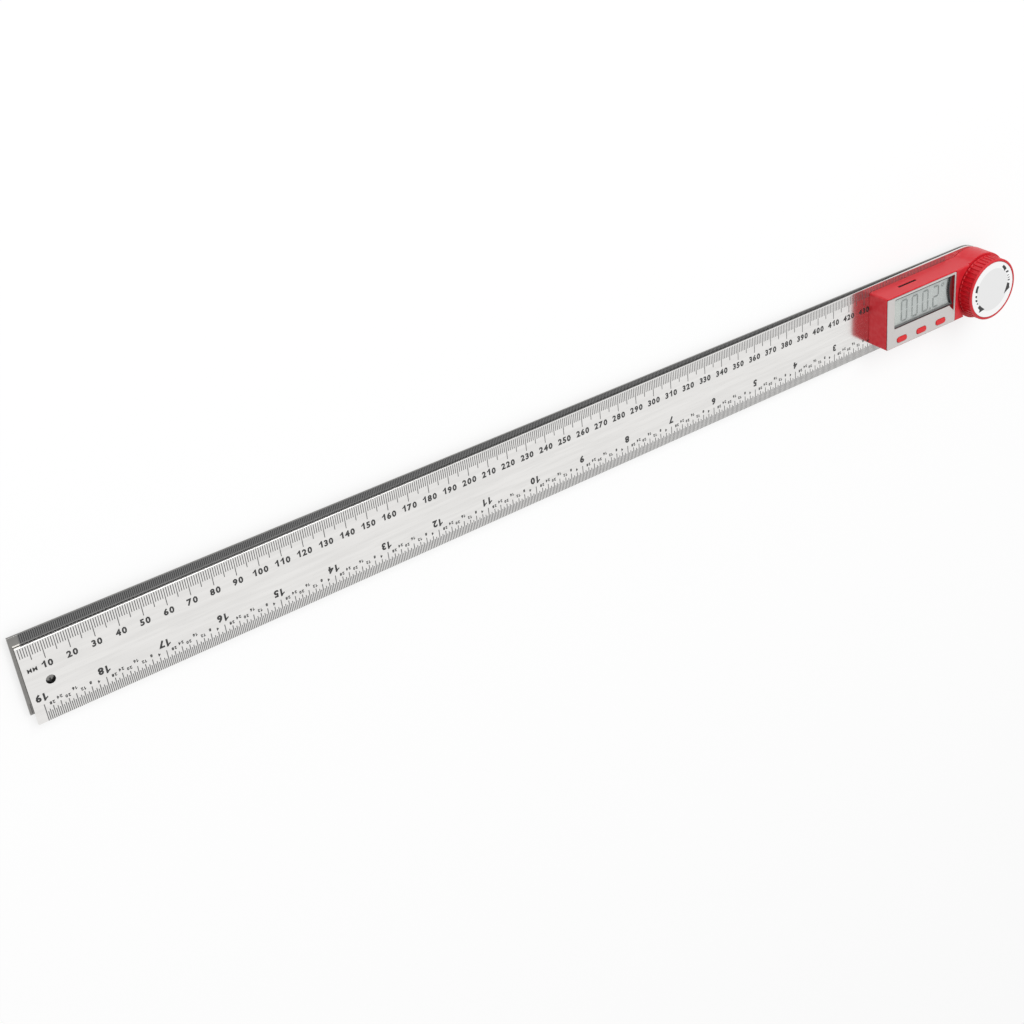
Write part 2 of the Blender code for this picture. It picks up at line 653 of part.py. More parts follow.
def display_outline(inset, end_inset):
    """The display frame's outline, drawn in: square on the left, hollowed by an arc on the right."""
    left = WINDOW_LEFT + FRAME_INSET + inset
    upper = WINDOW_UPPER - SEAT_GAP - inset
    lower = -WINDOW_LOWER + FRAME_INSET + inset
    radius = DISPLAY_ARC_RADIUS + end_inset
    x, y = DISPLAY_RIGHT + DISPLAY_ARC_RADIUS, DISPLAY_ARC_ABOVE_AXIS
    start = math.pi - math.asin((upper - y) / radius)
    end = math.pi - math.asin((lower - y) / radius)
    right = arc(radius, end, start, ARC_STEPS, x, y)
    return [(left, lower), *right, (left, upper)]


def glass_outline():
    """The outline of the display glass and its window, inside the frame."""
    return display_outline(FRAME_BAND + SIDE_GAP, FRAME_END_BAND + SIDE_GAP)


def button_outline(margin_x=0.0, margin_y=0.0):
    """A button's outline about its own centre, with round ends."""
    half_x = BUTTON_LENGTH / 2 + margin_x
    half_y = BUTTON_WIDTH / 2 + margin_y
    return rounded_box(-half_x, half_x, -half_y, half_y, half_y - BUTTON_EDGE_CHAMFER / 2)


def make_head_shell():
    """The red housing, hollowed from below, with its window, button holes, bosses and data slot."""
    shell = head_body()
    cut(shell, prism(head_outline(SIDE_WALL, CAVITY_CORNER), SHELL_Z - OVERRUN, ROUND_CEILING_Z))
    upper_room = rounded_box(
        CAVITY_LEFT + CAVITY_STEP,
        CAVITY_RIGHT,
        CAVITY_LOWER + CAVITY_STEP,
        CAVITY_UPPER - CAVITY_STEP,
        CAVITY_CORNER,
    )
    cut(shell, prism(upper_room, ROUND_CEILING_Z - OVERRUN, HEAD_CEILING_Z))
    bosses = [
        prism(circle(BOSS_RADIUS, x, y, SMALL_STEPS), BASE_TOP_Z + SEAT_GAP, FACE_Z + BOSS_TOP_LEVEL)
        for x, y in RULE_SCREW_PLACES
    ]
    board_posts = [
        prism(circle(BOARD_POST_RADIUS, x, y, SMALL_STEPS), BOARD_TOP_Z + SEAT_GAP, HEAD_CEILING_Z + FUSE)
        for x, y in BOARD_POST_PLACES
    ]
    stator_posts = [
        prism(circle(STATOR_POST_RADIUS, x, y, SMALL_STEPS), STATOR_TOP_Z + SEAT_GAP, ROUND_CEILING_Z + FUSE)
        for x, y in circle(STATOR_POST_CIRCLE, steps=STATOR_POSTS)
    ]
    key_boss = prism(circle(KEY_BOSS_RADIUS), KEY_BOSS_Z, ROUND_CEILING_Z + FUSE)
    join(shell, *bosses, *board_posts, *stator_posts, key_boss)
    screw_top = FRONT_RULE_Z + FLUSH_DROP + SCREW_LENGTH + SEAT_GAP
    screw_holes = [
        prism(circle(SCREW_RADIUS + SIDE_GAP, x, y, SMALL_STEPS), BASE_TOP_Z, screw_top)
        for x, y in RULE_SCREW_PLACES
    ]
    post_top = BOARD_Z - SEAT_GAP + BOARD_SCREW_LENGTH + SEAT_GAP
    post_holes = [
        prism(circle(BOARD_SCREW_RADIUS + SIDE_GAP, x, y, SMALL_STEPS), BOARD_TOP_Z, post_top)
        for x, y in BOARD_POST_PLACES
    ]
    key = prism(double_d(SPINDLE_RADIUS + SIDE_GAP, SPINDLE_FLAT + SIDE_GAP), KEY_BOSS_Z - OVERRUN, KNOB_Z)
    cut(shell, *screw_holes, *post_holes, key)
    slot_left = -SLOT_LEFT_FROM_PIVOT
    slot_z = BOARD_Z + BOARD_THICKNESS / 2 - SLOT_HEIGHT / 2
    slot_outline = rounded_box(
        slot_left,
        slot_left + SLOT_LENGTH,
        CAVITY_UPPER - OVERRUN,
        HEAD_UPPER_SIDE + OVERRUN,
        HEAD_EDGE_CHAMFER,
    )
    cut(shell, prism(slot_outline, slot_z, slot_z + SLOT_HEIGHT))
    plate_bed = rounded_box(
        HEAD_LEFT - OVERRUN,
        PLATE_RIGHT + SIDE_GAP,
        PLATE_LOWER - SIDE_GAP,
        PLATE_UPPER + SIDE_GAP,
        PLATE_CORNER,
    )
    cut(shell, prism(plate_bed, PLATE_Z - SEAT_GAP, HEAD_TOP_Z + OVERRUN))
    cut(shell, prism(window_outline(), HEAD_TOP_Z - WINDOW_POCKET_DEPTH, HEAD_TOP_Z + OVERRUN))
    frame_room = display_outline(-SIDE_GAP, -SIDE_GAP)
    cut(shell, prism(frame_room, HEAD_CEILING_Z - OVERRUN, HEAD_TOP_Z + OVERRUN))
    hole = button_outline(SIDE_GAP, SIDE_GAP)
    low, high = HEAD_CEILING_Z - OVERRUN, HEAD_TOP_Z + OVERRUN
    cut(shell, *[shifted(prism(hole, low, high), x, y) for x, y in BUTTON_PLACES])


def make_base_plate():
    """The head's inner floor, with a bayonet hole for the battery cover."""
    outline = head_outline(SIDE_WALL + SEAT_GAP, CAVITY_CORNER)
    plate = place_object("base_plate", prism(outline, SHELL_Z, BASE_TOP_Z), BLACK)
    cut(
        plate,
        through(HUB_RADIUS + SEAT_GAP, 0.0, 0.0, SHELL_Z, BASE_TOP_Z, ROUND_STEPS),
        prism(bayonet_outline(), SHELL_Z - OVERRUN, BASE_TOP_Z + OVERRUN),
        *[through(SCREW_RADIUS + SIDE_GAP, x, y, SHELL_Z, BASE_TOP_Z) for x, y in RULE_SCREW_PLACES],
    )


def bayonet_outline():
    """The battery cover's hole in the base plate: a circle with a notch for each lug when it is unlocked."""
    points = []
    half = LUG_SPAN / 2 + NOTCH_MARGIN
    pitch = 2 * math.pi / LUGS
    wide, narrow = COVER_RADIUS + SEAT_GAP, COVER_RING_RADIUS + SEAT_GAP
    for turn in lug_turns():
        start, end = turn + UNLOCK_TURN - half, turn + UNLOCK_TURN + half
        points += arc(wide, start, end, SECTOR_STEPS, CELL_X, CAVITY_MIDDLE)
        points += arc(narrow, end, start + pitch, ARC_STEPS, CELL_X, CAVITY_MIDDLE)
    return points


def lug_turns():
    """The angles of the battery cover's lugs when it is locked."""
    return [2 * math.pi * i / LUGS for i in range(LUGS)]


def make_battery_cover():
    """The round cover in the rule's hole: a cup for the cell, three bayonet lugs and a coin slot."""
    ring_inner = CELL_RADIUS + SEAT_GAP
    ring_top = FACE_Z + COVER_RING_TOP - COVER_Z
    profile = [
        (0.0, 0.0),
        (COVER_RADIUS, 0.0),
        (COVER_RADIUS, COVER_FLOOR),
        (COVER_RING_RADIUS, COVER_FLOOR),
        (COVER_RING_RADIUS, ring_top),
        (ring_inner, ring_top),
        (ring_inner, COVER_FLOOR),
        (0.0, COVER_FLOOR),
    ]
    place = bpy.data.objects.new("battery_cover_axis", None)
    bpy.context.scene.collection.objects.link(place)
    place.location = (CELL_X, CAVITY_MIDDLE, COVER_Z)
    cover = place_object("battery_cover", turned(profile), BLACK, parent=place)
    middle = (ring_inner + COVER_RING_RADIUS) / 2
    lugs = [
        prism(sector(middle, COVER_RADIUS, turn, LUG_SPAN), ring_top - LUG_THICKNESS, ring_top)
        for turn in lug_turns()
    ]
    combine(cover, merge(*lugs), "UNION", parent=place)
    half_x, half_y = COIN_SLOT_LENGTH / 2, COIN_SLOT_WIDTH / 2
    slot = rounded_box(-half_x, half_x, -half_y, half_y, half_y / 2)
    cut(cover, prism(slot, -OVERRUN, COIN_SLOT_DEPTH), parent=place)


def make_coin_cell():
    """The cell, its wide can towards the cover."""
    step = CELL_HEIGHT - CELL_CAP_HEIGHT
    profile = [
        (0.0, 0.0),
        (CELL_RADIUS, 0.0),
        (CELL_RADIUS, step),
        (CELL_CAP_RADIUS, step),
        (CELL_CAP_RADIUS, CELL_HEIGHT),
        (0.0, CELL_HEIGHT),
    ]
    place_object("coin_cell", turned(profile), CHROME, at=(CELL_X, CAVITY_MIDDLE, CELL_Z))


def make_cell_contacts():
    """Two spring contacts that hang from the board: one on the cell's cap and one on its side."""
    top_z = BOARD_Z - SEAT_GAP
    plate_z = CELL_TOP_Z + SEAT_GAP
    profile = [
        (-CONTACT_LENGTH / 2, plate_z),
        (CONTACT_LENGTH / 2, plate_z),
        (CONTACT_LENGTH / 2, top_z),
        (CONTACT_LENGTH / 2 - CONTACT_THICKNESS, top_z),
        (CONTACT_LENGTH / 2 - CONTACT_THICKNESS, plate_z + CONTACT_THICKNESS),
        (-CONTACT_LENGTH / 2, plate_z + CONTACT_THICKNESS),
    ]
    bm = bmesh.new()
    near, far = (
        [bm.verts.new((CELL_X + x, CAVITY_MIDDLE + side * CONTACT_WIDTH / 2, z)) for x, z in profile]
        for side in (-1, 1)
    )
    count = len(profile)
    for i in range(count):
        j = (i + 1) % count
        bm.faces.new((near[i], near[j], far[j], far[i]))
    bm.faces.new(list(reversed(near)))
    bm.faces.new(far)
    bmesh.ops.recalc_face_normals(bm, faces=bm.faces)
    place_object("cell_contact_top", bm, CHROME)
    left = CELL_X + CELL_RADIUS + SEAT_GAP
    half = SIDE_CONTACT_WIDTH / 2
    outline = [
        (left, CAVITY_MIDDLE - half),
        (left + CONTACT_THICKNESS, CAVITY_MIDDLE - half),
        (left + CONTACT_THICKNESS, CAVITY_MIDDLE + half),
        (left, CAVITY_MIDDLE + half),
    ]
    place_object("cell_contact_side", prism(outline, top_z - SIDE_CONTACT_DROP, top_z), CHROME)


def make_board():
    """The circuit board, on two posts, its edge behind the data slot."""
    outline = rounded_box(
        CAVITY_LEFT + BOSS_FROM_LEFT_WALL + BOSS_RADIUS + SEAT_GAP,
        -BOARD_RIGHT_FROM_PIVOT,
        CAVITY_LOWER + SEAT_GAP,
        CAVITY_UPPER - SEAT_GAP,
        HEAD_EDGE_CHAMFER,
    )
    board = place_object("circuit_board", prism(outline, BOARD_Z, BOARD_TOP_Z), BOARD)
    hole = BOARD_SCREW_RADIUS + SIDE_GAP
    cut(board, *[through(hole, x, y, BOARD_Z, BOARD_TOP_Z) for x, y in BOARD_POST_PLACES])


def make_board_parts():
    """Chips, snap domes and the display's rubber contact strips, all on the board."""
    part_z = BOARD_TOP_Z + SEAT_GAP
    middle = (WINDOW_UPPER - WINDOW_LOWER) / 2
    half = CHIP_SIDE / 2
    for name, x, size_x, size_y in (
        ("main_chip", CELL_X, half, half),
        ("crystal", CELL_X + CHIP_SPACING, CRYSTAL_WIDTH / 2, CRYSTAL_LENGTH / 2),
    ):
        outline = [
            (x - size_x, middle - size_y),
            (x + size_x, middle - size_y),
            (x + size_x, middle + size_y),
            (x - size_x, middle + size_y),
        ]
        place_object(name, prism(outline, part_z, part_z + CHIP_HEIGHT), BLACK)
    for name, (x, y) in zip(DOME_NAMES, BUTTON_PLACES, strict=True):
        dome = prism(circle(DOME_RADIUS, x, y, SMALL_STEPS), part_z, part_z + DOME_HEIGHT)
        place_object(name, dome, CHROME)
    glass = glass_outline()
    left = glass[0][0] + STRIP_END_INSET
    right = DISPLAY_RIGHT - STRIP_END_INSET
    low, high = glass[0][1] + STRIP_INSET, glass[-1][1] - STRIP_INSET - STRIP_WIDTH
    for name, y in (("contact_strip_lower", low), ("contact_strip_upper", high)):
        outline = [(left, y), (right, y), (right, y + STRIP_WIDTH), (left, y + STRIP_WIDTH)]
        place_object(name, prism(outline, part_z, GLASS_Z - SEAT_GAP), RUBBER)


def make_display():
    """The display glass and its window, in their dark frame."""
    frame = place_object("display_frame", prism(display_outline(0.0, 0.0), FRAME_Z, FRAME_TOP_Z), BLACK)
    opening = display_outline(FRAME_BAND, FRAME_END_BAND)
    cut(frame, prism(opening, FRAME_Z - OVERRUN, FRAME_TOP_Z + OVERRUN))
    inner = glass_outline()
    place_object("display_glass", prism(inner, GLASS_Z, GLASS_Z + GLASS_THICKNESS), DISPLAY)
    place_object("display_window", prism(inner, LENS_Z, LENS_Z + LENS_THICKNESS), CLEAR)


def make_face_plate():
    """The silver plate with the window and the button holes."""
    outline = rounded_box(PLATE_LEFT, PLATE_RIGHT, PLATE_LOWER, PLATE_UPPER, PLATE_CORNER)
    plate = place_object("face_plate", prism(outline, PLATE_Z, HEAD_TOP_Z), SILVER)
    hole = button_outline(SIDE_GAP, SIDE_GAP)
    low, high = PLATE_Z - OVERRUN, HEAD_TOP_Z + OVERRUN
    holes = [shifted(prism(hole, low, high), x, y) for x, y in BUTTON_PLACES]
    cut(plate, prism(window_outline(), low, high), *holes)


def make_buttons():
    """Three oblong buttons, each held by a flange under the head's front wall."""
    top = HEAD_TOP_Z + BUTTON_PROUD
    flange_top = HEAD_CEILING_Z - SEAT_GAP
    flange_z = flange_top - BUTTON_FLANGE_THICKNESS
    stem_z = BOARD_TOP_Z + SEAT_GAP + DOME_HEIGHT + BUTTON_STROKE_ROOM
    half_x, half_y = BUTTON_STEM_LENGTH / 2, BUTTON_STEM_WIDTH / 2
    for name, (x, y) in zip(BUTTON_NAMES, BUTTON_PLACES, strict=True):
        cap = [
            (button_outline(), flange_top - FUSE - top),
            (button_outline(), -BUTTON_EDGE_CHAMFER),
            (button_outline(-BUTTON_EDGE_CHAMFER, -BUTTON_EDGE_CHAMFER), 0.0),
        ]
        place = bpy.data.objects.new(name + "_axis", None)
        bpy.context.scene.collection.objects.link(place)
        place.location = (x, y, top)
        button = place_object(name, loft(cap), RED, parent=place)
        flange = button_outline(BUTTON_FLANGE_MARGIN_X, BUTTON_FLANGE_MARGIN_Y)
        combine(button, prism(flange, flange_z - top, flange_top - top), "UNION", parent=place)
        stem = rounded_box(-half_x, half_x, -half_y, half_y, half_y / 2)
        combine(button, prism(stem, stem_z - top, flange_z + FUSE - top), "UNION", parent=place)


def make_sensor_link():
    """The stator disc and the flat ribbon from it to the board."""
    profile = ring_profile(HUB_NECK_RADIUS + SEAT_GAP, STATOR_RADIUS, STATOR_Z, STATOR_TOP_Z)
    place_object("stator_disc", turned(profile), BOARD)
    left = -BOARD_RIGHT_FROM_PIVOT - RIBBON_LAP
    right = -STATOR_RADIUS + RIBBON_LAP
    half = RIBBON_WIDTH / 2
    ribbon_z = STATOR_TOP_Z + SEAT_GAP
    outline = [(left, -half), (right, -half), (right, half), (left, half)]
    place_object("ribbon_cable", prism(outline, ribbon_z, ribbon_z + RIBBON_THICKNESS), FILM)


def make_screws():
    """Four countersunk screws from the rule's back, and two that hold the board."""
    head_z = FRONT_RULE_Z + FLUSH_DROP
    for i, (x, y) in enumerate(RULE_SCREW_PLACES):
        sections = (
            (SCREW_HEAD_RADIUS, head_z),
            (SCREW_RADIUS, head_z + SCREW_HEAD_HEIGHT),
            (SCREW_RADIUS, head_z + SCREW_LENGTH),
        )
        body = loft([(circle(r, x, y, SMALL_STEPS), z) for r, z in sections])
        place_object(f"rule_screw_{i + 1}", body, CHROME)
    for i, (x, y) in enumerate(BOARD_POST_PLACES):
        top = BOARD_Z - SEAT_GAP
        profile = [
            (0.0, top - BOARD_SCREW_HEAD_HEIGHT),
            (BOARD_SCREW_HEAD_RADIUS, top - BOARD_SCREW_HEAD_HEIGHT),
            (BOARD_SCREW_HEAD_RADIUS, top),
            (BOARD_SCREW_RADIUS, top),
            (BOARD_SCREW_RADIUS, top + BOARD_SCREW_LENGTH),
            (0.0, top + BOARD_SCREW_LENGTH),
        ]
        place_object(f"board_screw_{i + 1}", shifted(turned(profile, SMALL_STEPS), x, y), CHROME)


def grooved_circle(radius, depth):
    """The knob's outline: a circle with straight-sided grooves, or a plain one where the depth is nothing."""
    pitch = 2 * math.pi / KNOB_GROOVES
    points = []
    for i in range(KNOB_GROOVES):
        middle = i * pitch
        mouth, floor = pitch * KNOB_GROOVE_OPEN_SHARE / 2, pitch * KNOB_GROOVE_FLOOR_SHARE / 2
        for turn, r in (
            (middle - mouth, radius),
            (middle - floor, radius - depth),
            (middle + floor, radius - depth),
            (middle + mouth, radius),
        ):
            points.append((r * math.cos(turn), r * math.sin(turn)))
    return points


def make_knob():
    """The knurled knob, its brass nut and the white disc in its face."""
    groove_z = KNOB_Z + KNOB_PLAIN_BASE
    groove_top = KNOB_TOP_Z - KNOB_RIM_CHAMFER
    sections = [
        (grooved_circle(KNOB_RADIUS, 0.0), KNOB_Z),
        (grooved_circle(KNOB_RADIUS, 0.0), groove_z),
        (grooved_circle(KNOB_RADIUS, KNOB_GROOVE_DEPTH), groove_z + KNOB_GROOVE_RUNOUT),
        (grooved_circle(KNOB_RADIUS, KNOB_GROOVE_DEPTH), groove_top - KNOB_GROOVE_RUNOUT),
        (grooved_circle(KNOB_RADIUS, 0.0), groove_top),
        (grooved_circle(KNOB_RADIUS - KNOB_RIM_CHAMFER, 0.0), KNOB_TOP_Z),
    ]
    knob = place_object("lock_knob", loft(sections), RED)
    below = KNOB_Z - OVERRUN
    bore = NUT_RADIUS + SIDE_GAP
    hollow = [
        (0.0, below),
        (KNOB_CAVITY_RADIUS, below),
        (KNOB_CAVITY_RADIUS, KNOB_CEILING_Z),
        (KNOB_BOSS_RADIUS, KNOB_CEILING_Z),
        (KNOB_BOSS_RADIUS, KNOB_BOSS_Z),
        (bore, KNOB_BOSS_Z),
        (bore, KNOB_NUT_CEILING_Z),
        (0.0, KNOB_NUT_CEILING_Z),
    ]
    cut(knob, turned(hollow))
    cut(knob, prism(circle(KNOB_RECESS_RADIUS), KNOB_FLOOR_Z, KNOB_TOP_Z + OVERRUN))
    nut = ring_profile(
        SPINDLE_RADIUS + RUN_GAP, NUT_RADIUS, KNOB_BOSS_Z + SEAT_GAP, KNOB_NUT_CEILING_Z - NUT_TOP_GAP
    )
    place_object("knob_nut", turned(nut), BRASS)
    disc_z = KNOB_FLOOR_Z + SEAT_GAP
    disc = prism(circle(KNOB_RECESS_RADIUS - SIDE_GAP), disc_z, disc_z + KNOB_DISC_THICKNESS)
    place_object("knob_disc", disc, WHITE)
    washer = ring_profile(WASHER_INNER_RADIUS, WASHER_OUTER_RADIUS, KNOB_Z, KNOB_Z + WASHER_THICKNESS)
    place_object("spring_washer", turned(washer), CHROME)


def main():
    """Builds the whole tool."""
    clear_scene()
    arm = bpy.data.objects.new("rear_arm_axis", None)
    bpy.context.scene.collection.objects.link(arm)
    arm.rotation_euler.z = REST_ANGLE
    make_front_rule()
    make_rear_rule(arm)
    make_pivot_hub(arm)
    make_hub_rivets(arm)
    make_rear_cap(arm)
    make_rotor_disc(arm)
    make_lock_spindle()
    make_head_shell()
    make_base_plate()
    make_battery_cover()
    make_coin_cell()
    make_cell_contacts()
    make_board()
    make_board_parts()
    make_display()
    make_face_plate()
    make_buttons()
    make_sensor_link()
    make_screws()
    make_knob()
    bpy.context.view_layer.update()


main()
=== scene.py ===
"""The looks of a digital angle ruler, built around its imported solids.

Lengths are in metres, in the solids' own frame. X runs along the front rule towards the pivot, Y across it
towards its millimetre edge and Z out of its scale face. The pivot's axis is the line X = 0, Y = 0.
"""

import logging
import math
from collections.abc import Callable, Iterable, Sequence
from dataclasses import dataclass, field, replace
from enum import Enum
from functools import cache
from typing import Any

import bmesh
import bpy
from mathutils import Matrix, Vector


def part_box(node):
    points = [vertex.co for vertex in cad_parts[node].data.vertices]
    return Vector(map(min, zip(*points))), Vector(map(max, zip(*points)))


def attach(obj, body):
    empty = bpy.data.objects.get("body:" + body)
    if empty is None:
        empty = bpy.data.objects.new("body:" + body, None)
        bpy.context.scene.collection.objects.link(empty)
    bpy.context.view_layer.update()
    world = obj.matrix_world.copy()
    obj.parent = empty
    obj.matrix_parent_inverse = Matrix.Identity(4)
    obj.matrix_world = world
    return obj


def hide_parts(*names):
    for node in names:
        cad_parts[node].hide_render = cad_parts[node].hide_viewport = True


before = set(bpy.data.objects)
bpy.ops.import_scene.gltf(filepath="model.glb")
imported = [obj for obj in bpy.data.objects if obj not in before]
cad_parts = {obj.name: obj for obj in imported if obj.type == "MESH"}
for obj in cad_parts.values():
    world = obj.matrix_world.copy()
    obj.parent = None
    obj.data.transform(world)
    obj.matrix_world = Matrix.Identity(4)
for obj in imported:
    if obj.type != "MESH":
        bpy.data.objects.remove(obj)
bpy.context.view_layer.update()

MM = 0.001
INCH = 25.4 * MM
MERGE_DISTANCE = 0.001 * MM
FLAT_ANGLE = math.radians(0.5)
SHARP_ANGLE = math.radians(32.0)
SHADED_SHARP_ANGLE = math.radians(35.0)
HOLE_OFF_CENTRE = 0.6 * MM  # from a rule's middle line to its hang hole
LOG = logging.getLogger("ruler")

Colour = tuple[float, float, float]
Point = tuple[float, float]


class Graph:
    """Adds nodes to a tree and joins their sockets."""

    def __init__(self, tree: bpy.types.NodeTree) -> None:
        """Keeps the tree that the nodes go into."""
        self.tree = tree

    def feed(self, socket: bpy.types.NodeSocket, value: Any) -> None:
        """Joins a socket to another one, or sets its value."""
        if isinstance(value, bpy.types.NodeSocket):
            self.tree.links.new(value, socket)
        elif isinstance(value, tuple) and len(value) == 3 and socket.type == "RGBA":
            socket.default_value = (*value, 1.0)
        else:
            socket.default_value = value

    def add(self, kind: str, inputs: dict[str | int, Any] | None = None, **settings: Any) -> bpy.types.Node:
        """Adds a node.

        Args:
            kind: The node's type name.
            inputs: Its sockets' values or the sockets that feed them, by name or place.
            settings: Its own properties.

        Returns:
            The node.
        """
        node = self.tree.nodes.new(kind)
        for name, value in settings.items():
            setattr(node, name, value)
        for key, value in (inputs or {}).items():
            self.feed(node.inputs[key], value)
        return node

    def math(self, operation: str, *values: Any) -> bpy.types.NodeSocket:
        """Adds a Math node and returns its result."""
        return self.add("ShaderNodeMath", dict(enumerate(values)), operation=operation).outputs[0]

    def vector(self, operation: str, *values: Any) -> bpy.types.NodeSocket:
        """Adds a Vector Math node and returns its vector."""
        return self.add("ShaderNodeVectorMath", dict(enumerate(values)), operation=operation).outputs[0]

    def mix(self, share: Any, first: Any, second: Any) -> bpy.types.NodeSocket:
        """Mixes two colours by a share and returns the colour."""
        return self.add("ShaderNodeMix", {0: share, 6: first, 7: second}, data_type="RGBA").outputs[2]

    def tint(self, colour: Any, tone: Any) -> bpy.types.NodeSocket:
        """Multiplies a colour by a tone and returns the colour."""
        inputs = {0: 1.0, 6: colour, 7: tone}
        return self.add("ShaderNodeMix", inputs, data_type="RGBA", blend_type="MULTIPLY").outputs[2]

    def split(self, vector: Any) -> Sequence[bpy.types.NodeSocket]:
        """Takes a vector apart and returns its three parts."""
        return self.add("ShaderNodeSeparateXYZ", {0: vector}).outputs

    def joined(self, parts: dict[int, Any]) -> bpy.types.NodeSocket:
        """Puts a vector together from its parts by their place and returns it."""
        return self.add("ShaderNodeCombineXYZ", parts).outputs[0]

    def distance(self, x: Any, y: Any) -> bpy.types.NodeSocket:
        """The distance from the origin of a point in the plane."""
        return self.math("SQRT", self.math("ADD", self.math("MULTIPLY", x, x), self.math("MULTIPLY", y, y)))

    def bump(self, shader: bpy.types.Node, height: Any, depth: float) -> None:
        """Feeds a shader's normal from a height."""
        node = self.add("ShaderNodeBump", {"Height": height, "Distance": depth})
        self.feed(shader.inputs["Normal"], node.outputs[0])

    def backdrop_rays(self) -> bpy.types.NodeSocket:
        """One for the rays that show the backdrop: from the camera, off gloss and through glass."""
        path = self.add("ShaderNodeLightPath")
        seen = self.math("MAXIMUM", path.outputs["Is Camera Ray"], path.outputs["Is Glossy Ray"])
        return self.math("MAXIMUM", seen, path.outputs["Is Transmission Ray"])

    def ramp(self, value: Any, low: Any, high: Any, start: Any = 0.0, end: Any = 1.0) -> bpy.types.NodeSocket:
        """Maps a value from one range to another along a smooth step.

        Args:
            value: What is mapped.
            low: The value that gives start.
            high: The value that gives end.
            start: The result at low.
            end: The result at high.

        Returns:
            The mapped value's socket.
        """
        inputs = {"Value": value, "From Min": low, "From Max": high, "To Min": start, "To Max": end}
        return self.add("ShaderNodeMapRange", inputs, interpolation_type="SMOOTHSTEP").outputs[0]

    def noise(self, place: Any, scale: Any, detail: float = 2.0) -> bpy.types.NodeSocket:
        """Adds a Noise texture and returns its value, from 0 to 1."""
        return self.add("ShaderNodeTexNoise", {"Vector": place, "Scale": scale, "Detail": detail}).outputs[0]

    def group(self, tree: bpy.types.NodeTree, inputs: dict[str, Any]) -> bpy.types.Node:
        """Places a shared shader group with its own values."""
        node = self.tree.nodes.new("ShaderNodeGroup")
        node.node_tree = tree
        for name, value in inputs.items():
            self.feed(node.inputs[name], value)
        return node


class SocketKind(Enum):
    """The kinds of socket that the groups and trees here use."""

    NUMBER = "NodeSocketFloat"
    COUNT = "NodeSocketInt"
    VECTOR = "NodeSocketVector"
    COLOUR = "NodeSocketColor"
    SHAPE = "NodeSocketGeometry"
    MATERIAL = "NodeSocketMaterial"


def new_tree(
    name: str, kind: str, inputs: dict[str, SocketKind], outputs: dict[str, SocketKind]
) -> tuple[Graph, bpy.types.Node, bpy.types.Node]:
    """Starts a node tree with named sockets.

    Args:
        name: The tree's name.
        kind: ShaderNodeTree or GeometryNodeTree.
        inputs: Its inputs' names and kinds.
        outputs: Its outputs' names and kinds.

    Returns:
        The graph, its input node and its output node.
    """
    tree = bpy.data.node_groups.new(name, kind)
    for label, socket in inputs.items():
        tree.interface.new_socket(name=label, in_out="INPUT", socket_type=socket.value)
    for label, socket in outputs.items():
        tree.interface.new_socket(name=label, in_out="OUTPUT", socket_type=socket.value)
    graph = Graph(tree)
    return graph, graph.add("NodeGroupInput"), graph.add("NodeGroupOutput")


@cache
def grain_group() -> bpy.types.NodeTree:
    """Fine moulded grain: a height, and a roughness that drifts over the surface."""
    number = SocketKind.NUMBER
    graph, source, result = new_tree(
        "surface_grain",
        "ShaderNodeTree",
        {"Vector": SocketKind.VECTOR, "Scale": number, "Roughness": number, "Spread": number},
        {"Height": number, "Roughness": number},
    )
    place, scale = source.outputs["Vector"], source.outputs["Scale"]
    fine = graph.noise(place, scale, 3.0)
    slow = graph.noise(place, graph.math("MULTIPLY", scale, 0.03), 2.0)
    drift = graph.math("MULTIPLY", graph.math("SUBTRACT", slow, 0.5), source.outputs["Spread"])
    graph.feed(result.inputs["Height"], fine)
    graph.feed(result.inputs["Roughness"], graph.math("ADD", source.outputs["Roughness"], drift))
    return graph.tree


@cache
def brushed_group() -> bpy.types.NodeTree:
    """Brushed lines along X: a height, a roughness and a tone that follow the lines."""
    number = SocketKind.NUMBER
    graph, source, result = new_tree(
        "brushed_lines",
        "ShaderNodeTree",
        {"Vector": SocketKind.VECTOR, **dict.fromkeys(("Along", "Across", "Roughness", "Spread"), number)},
        {"Height": number, "Roughness": number, "Tone": number},
    )
    across = source.outputs["Across"]
    stretch = graph.joined({0: source.outputs["Along"], 1: across, 2: across})
    place = graph.vector("MULTIPLY", source.outputs["Vector"], stretch)
    lines = graph.noise(place, 1.0, 3.0)
    broad = graph.noise(graph.vector("MULTIPLY", place, (0.4, 0.06, 0.06)), 1.0, 2.0)
    drift = graph.math("MULTIPLY", graph.math("SUBTRACT", lines, 0.5), source.outputs["Spread"])
    graph.feed(result.inputs["Height"], lines)
    graph.feed(result.inputs["Roughness"], graph.math("ADD", source.outputs["Roughness"], drift))
    graph.feed(result.inputs["Tone"], graph.ramp(broad, 0.25, 0.75, 0.95, 1.03))
    return graph.tree


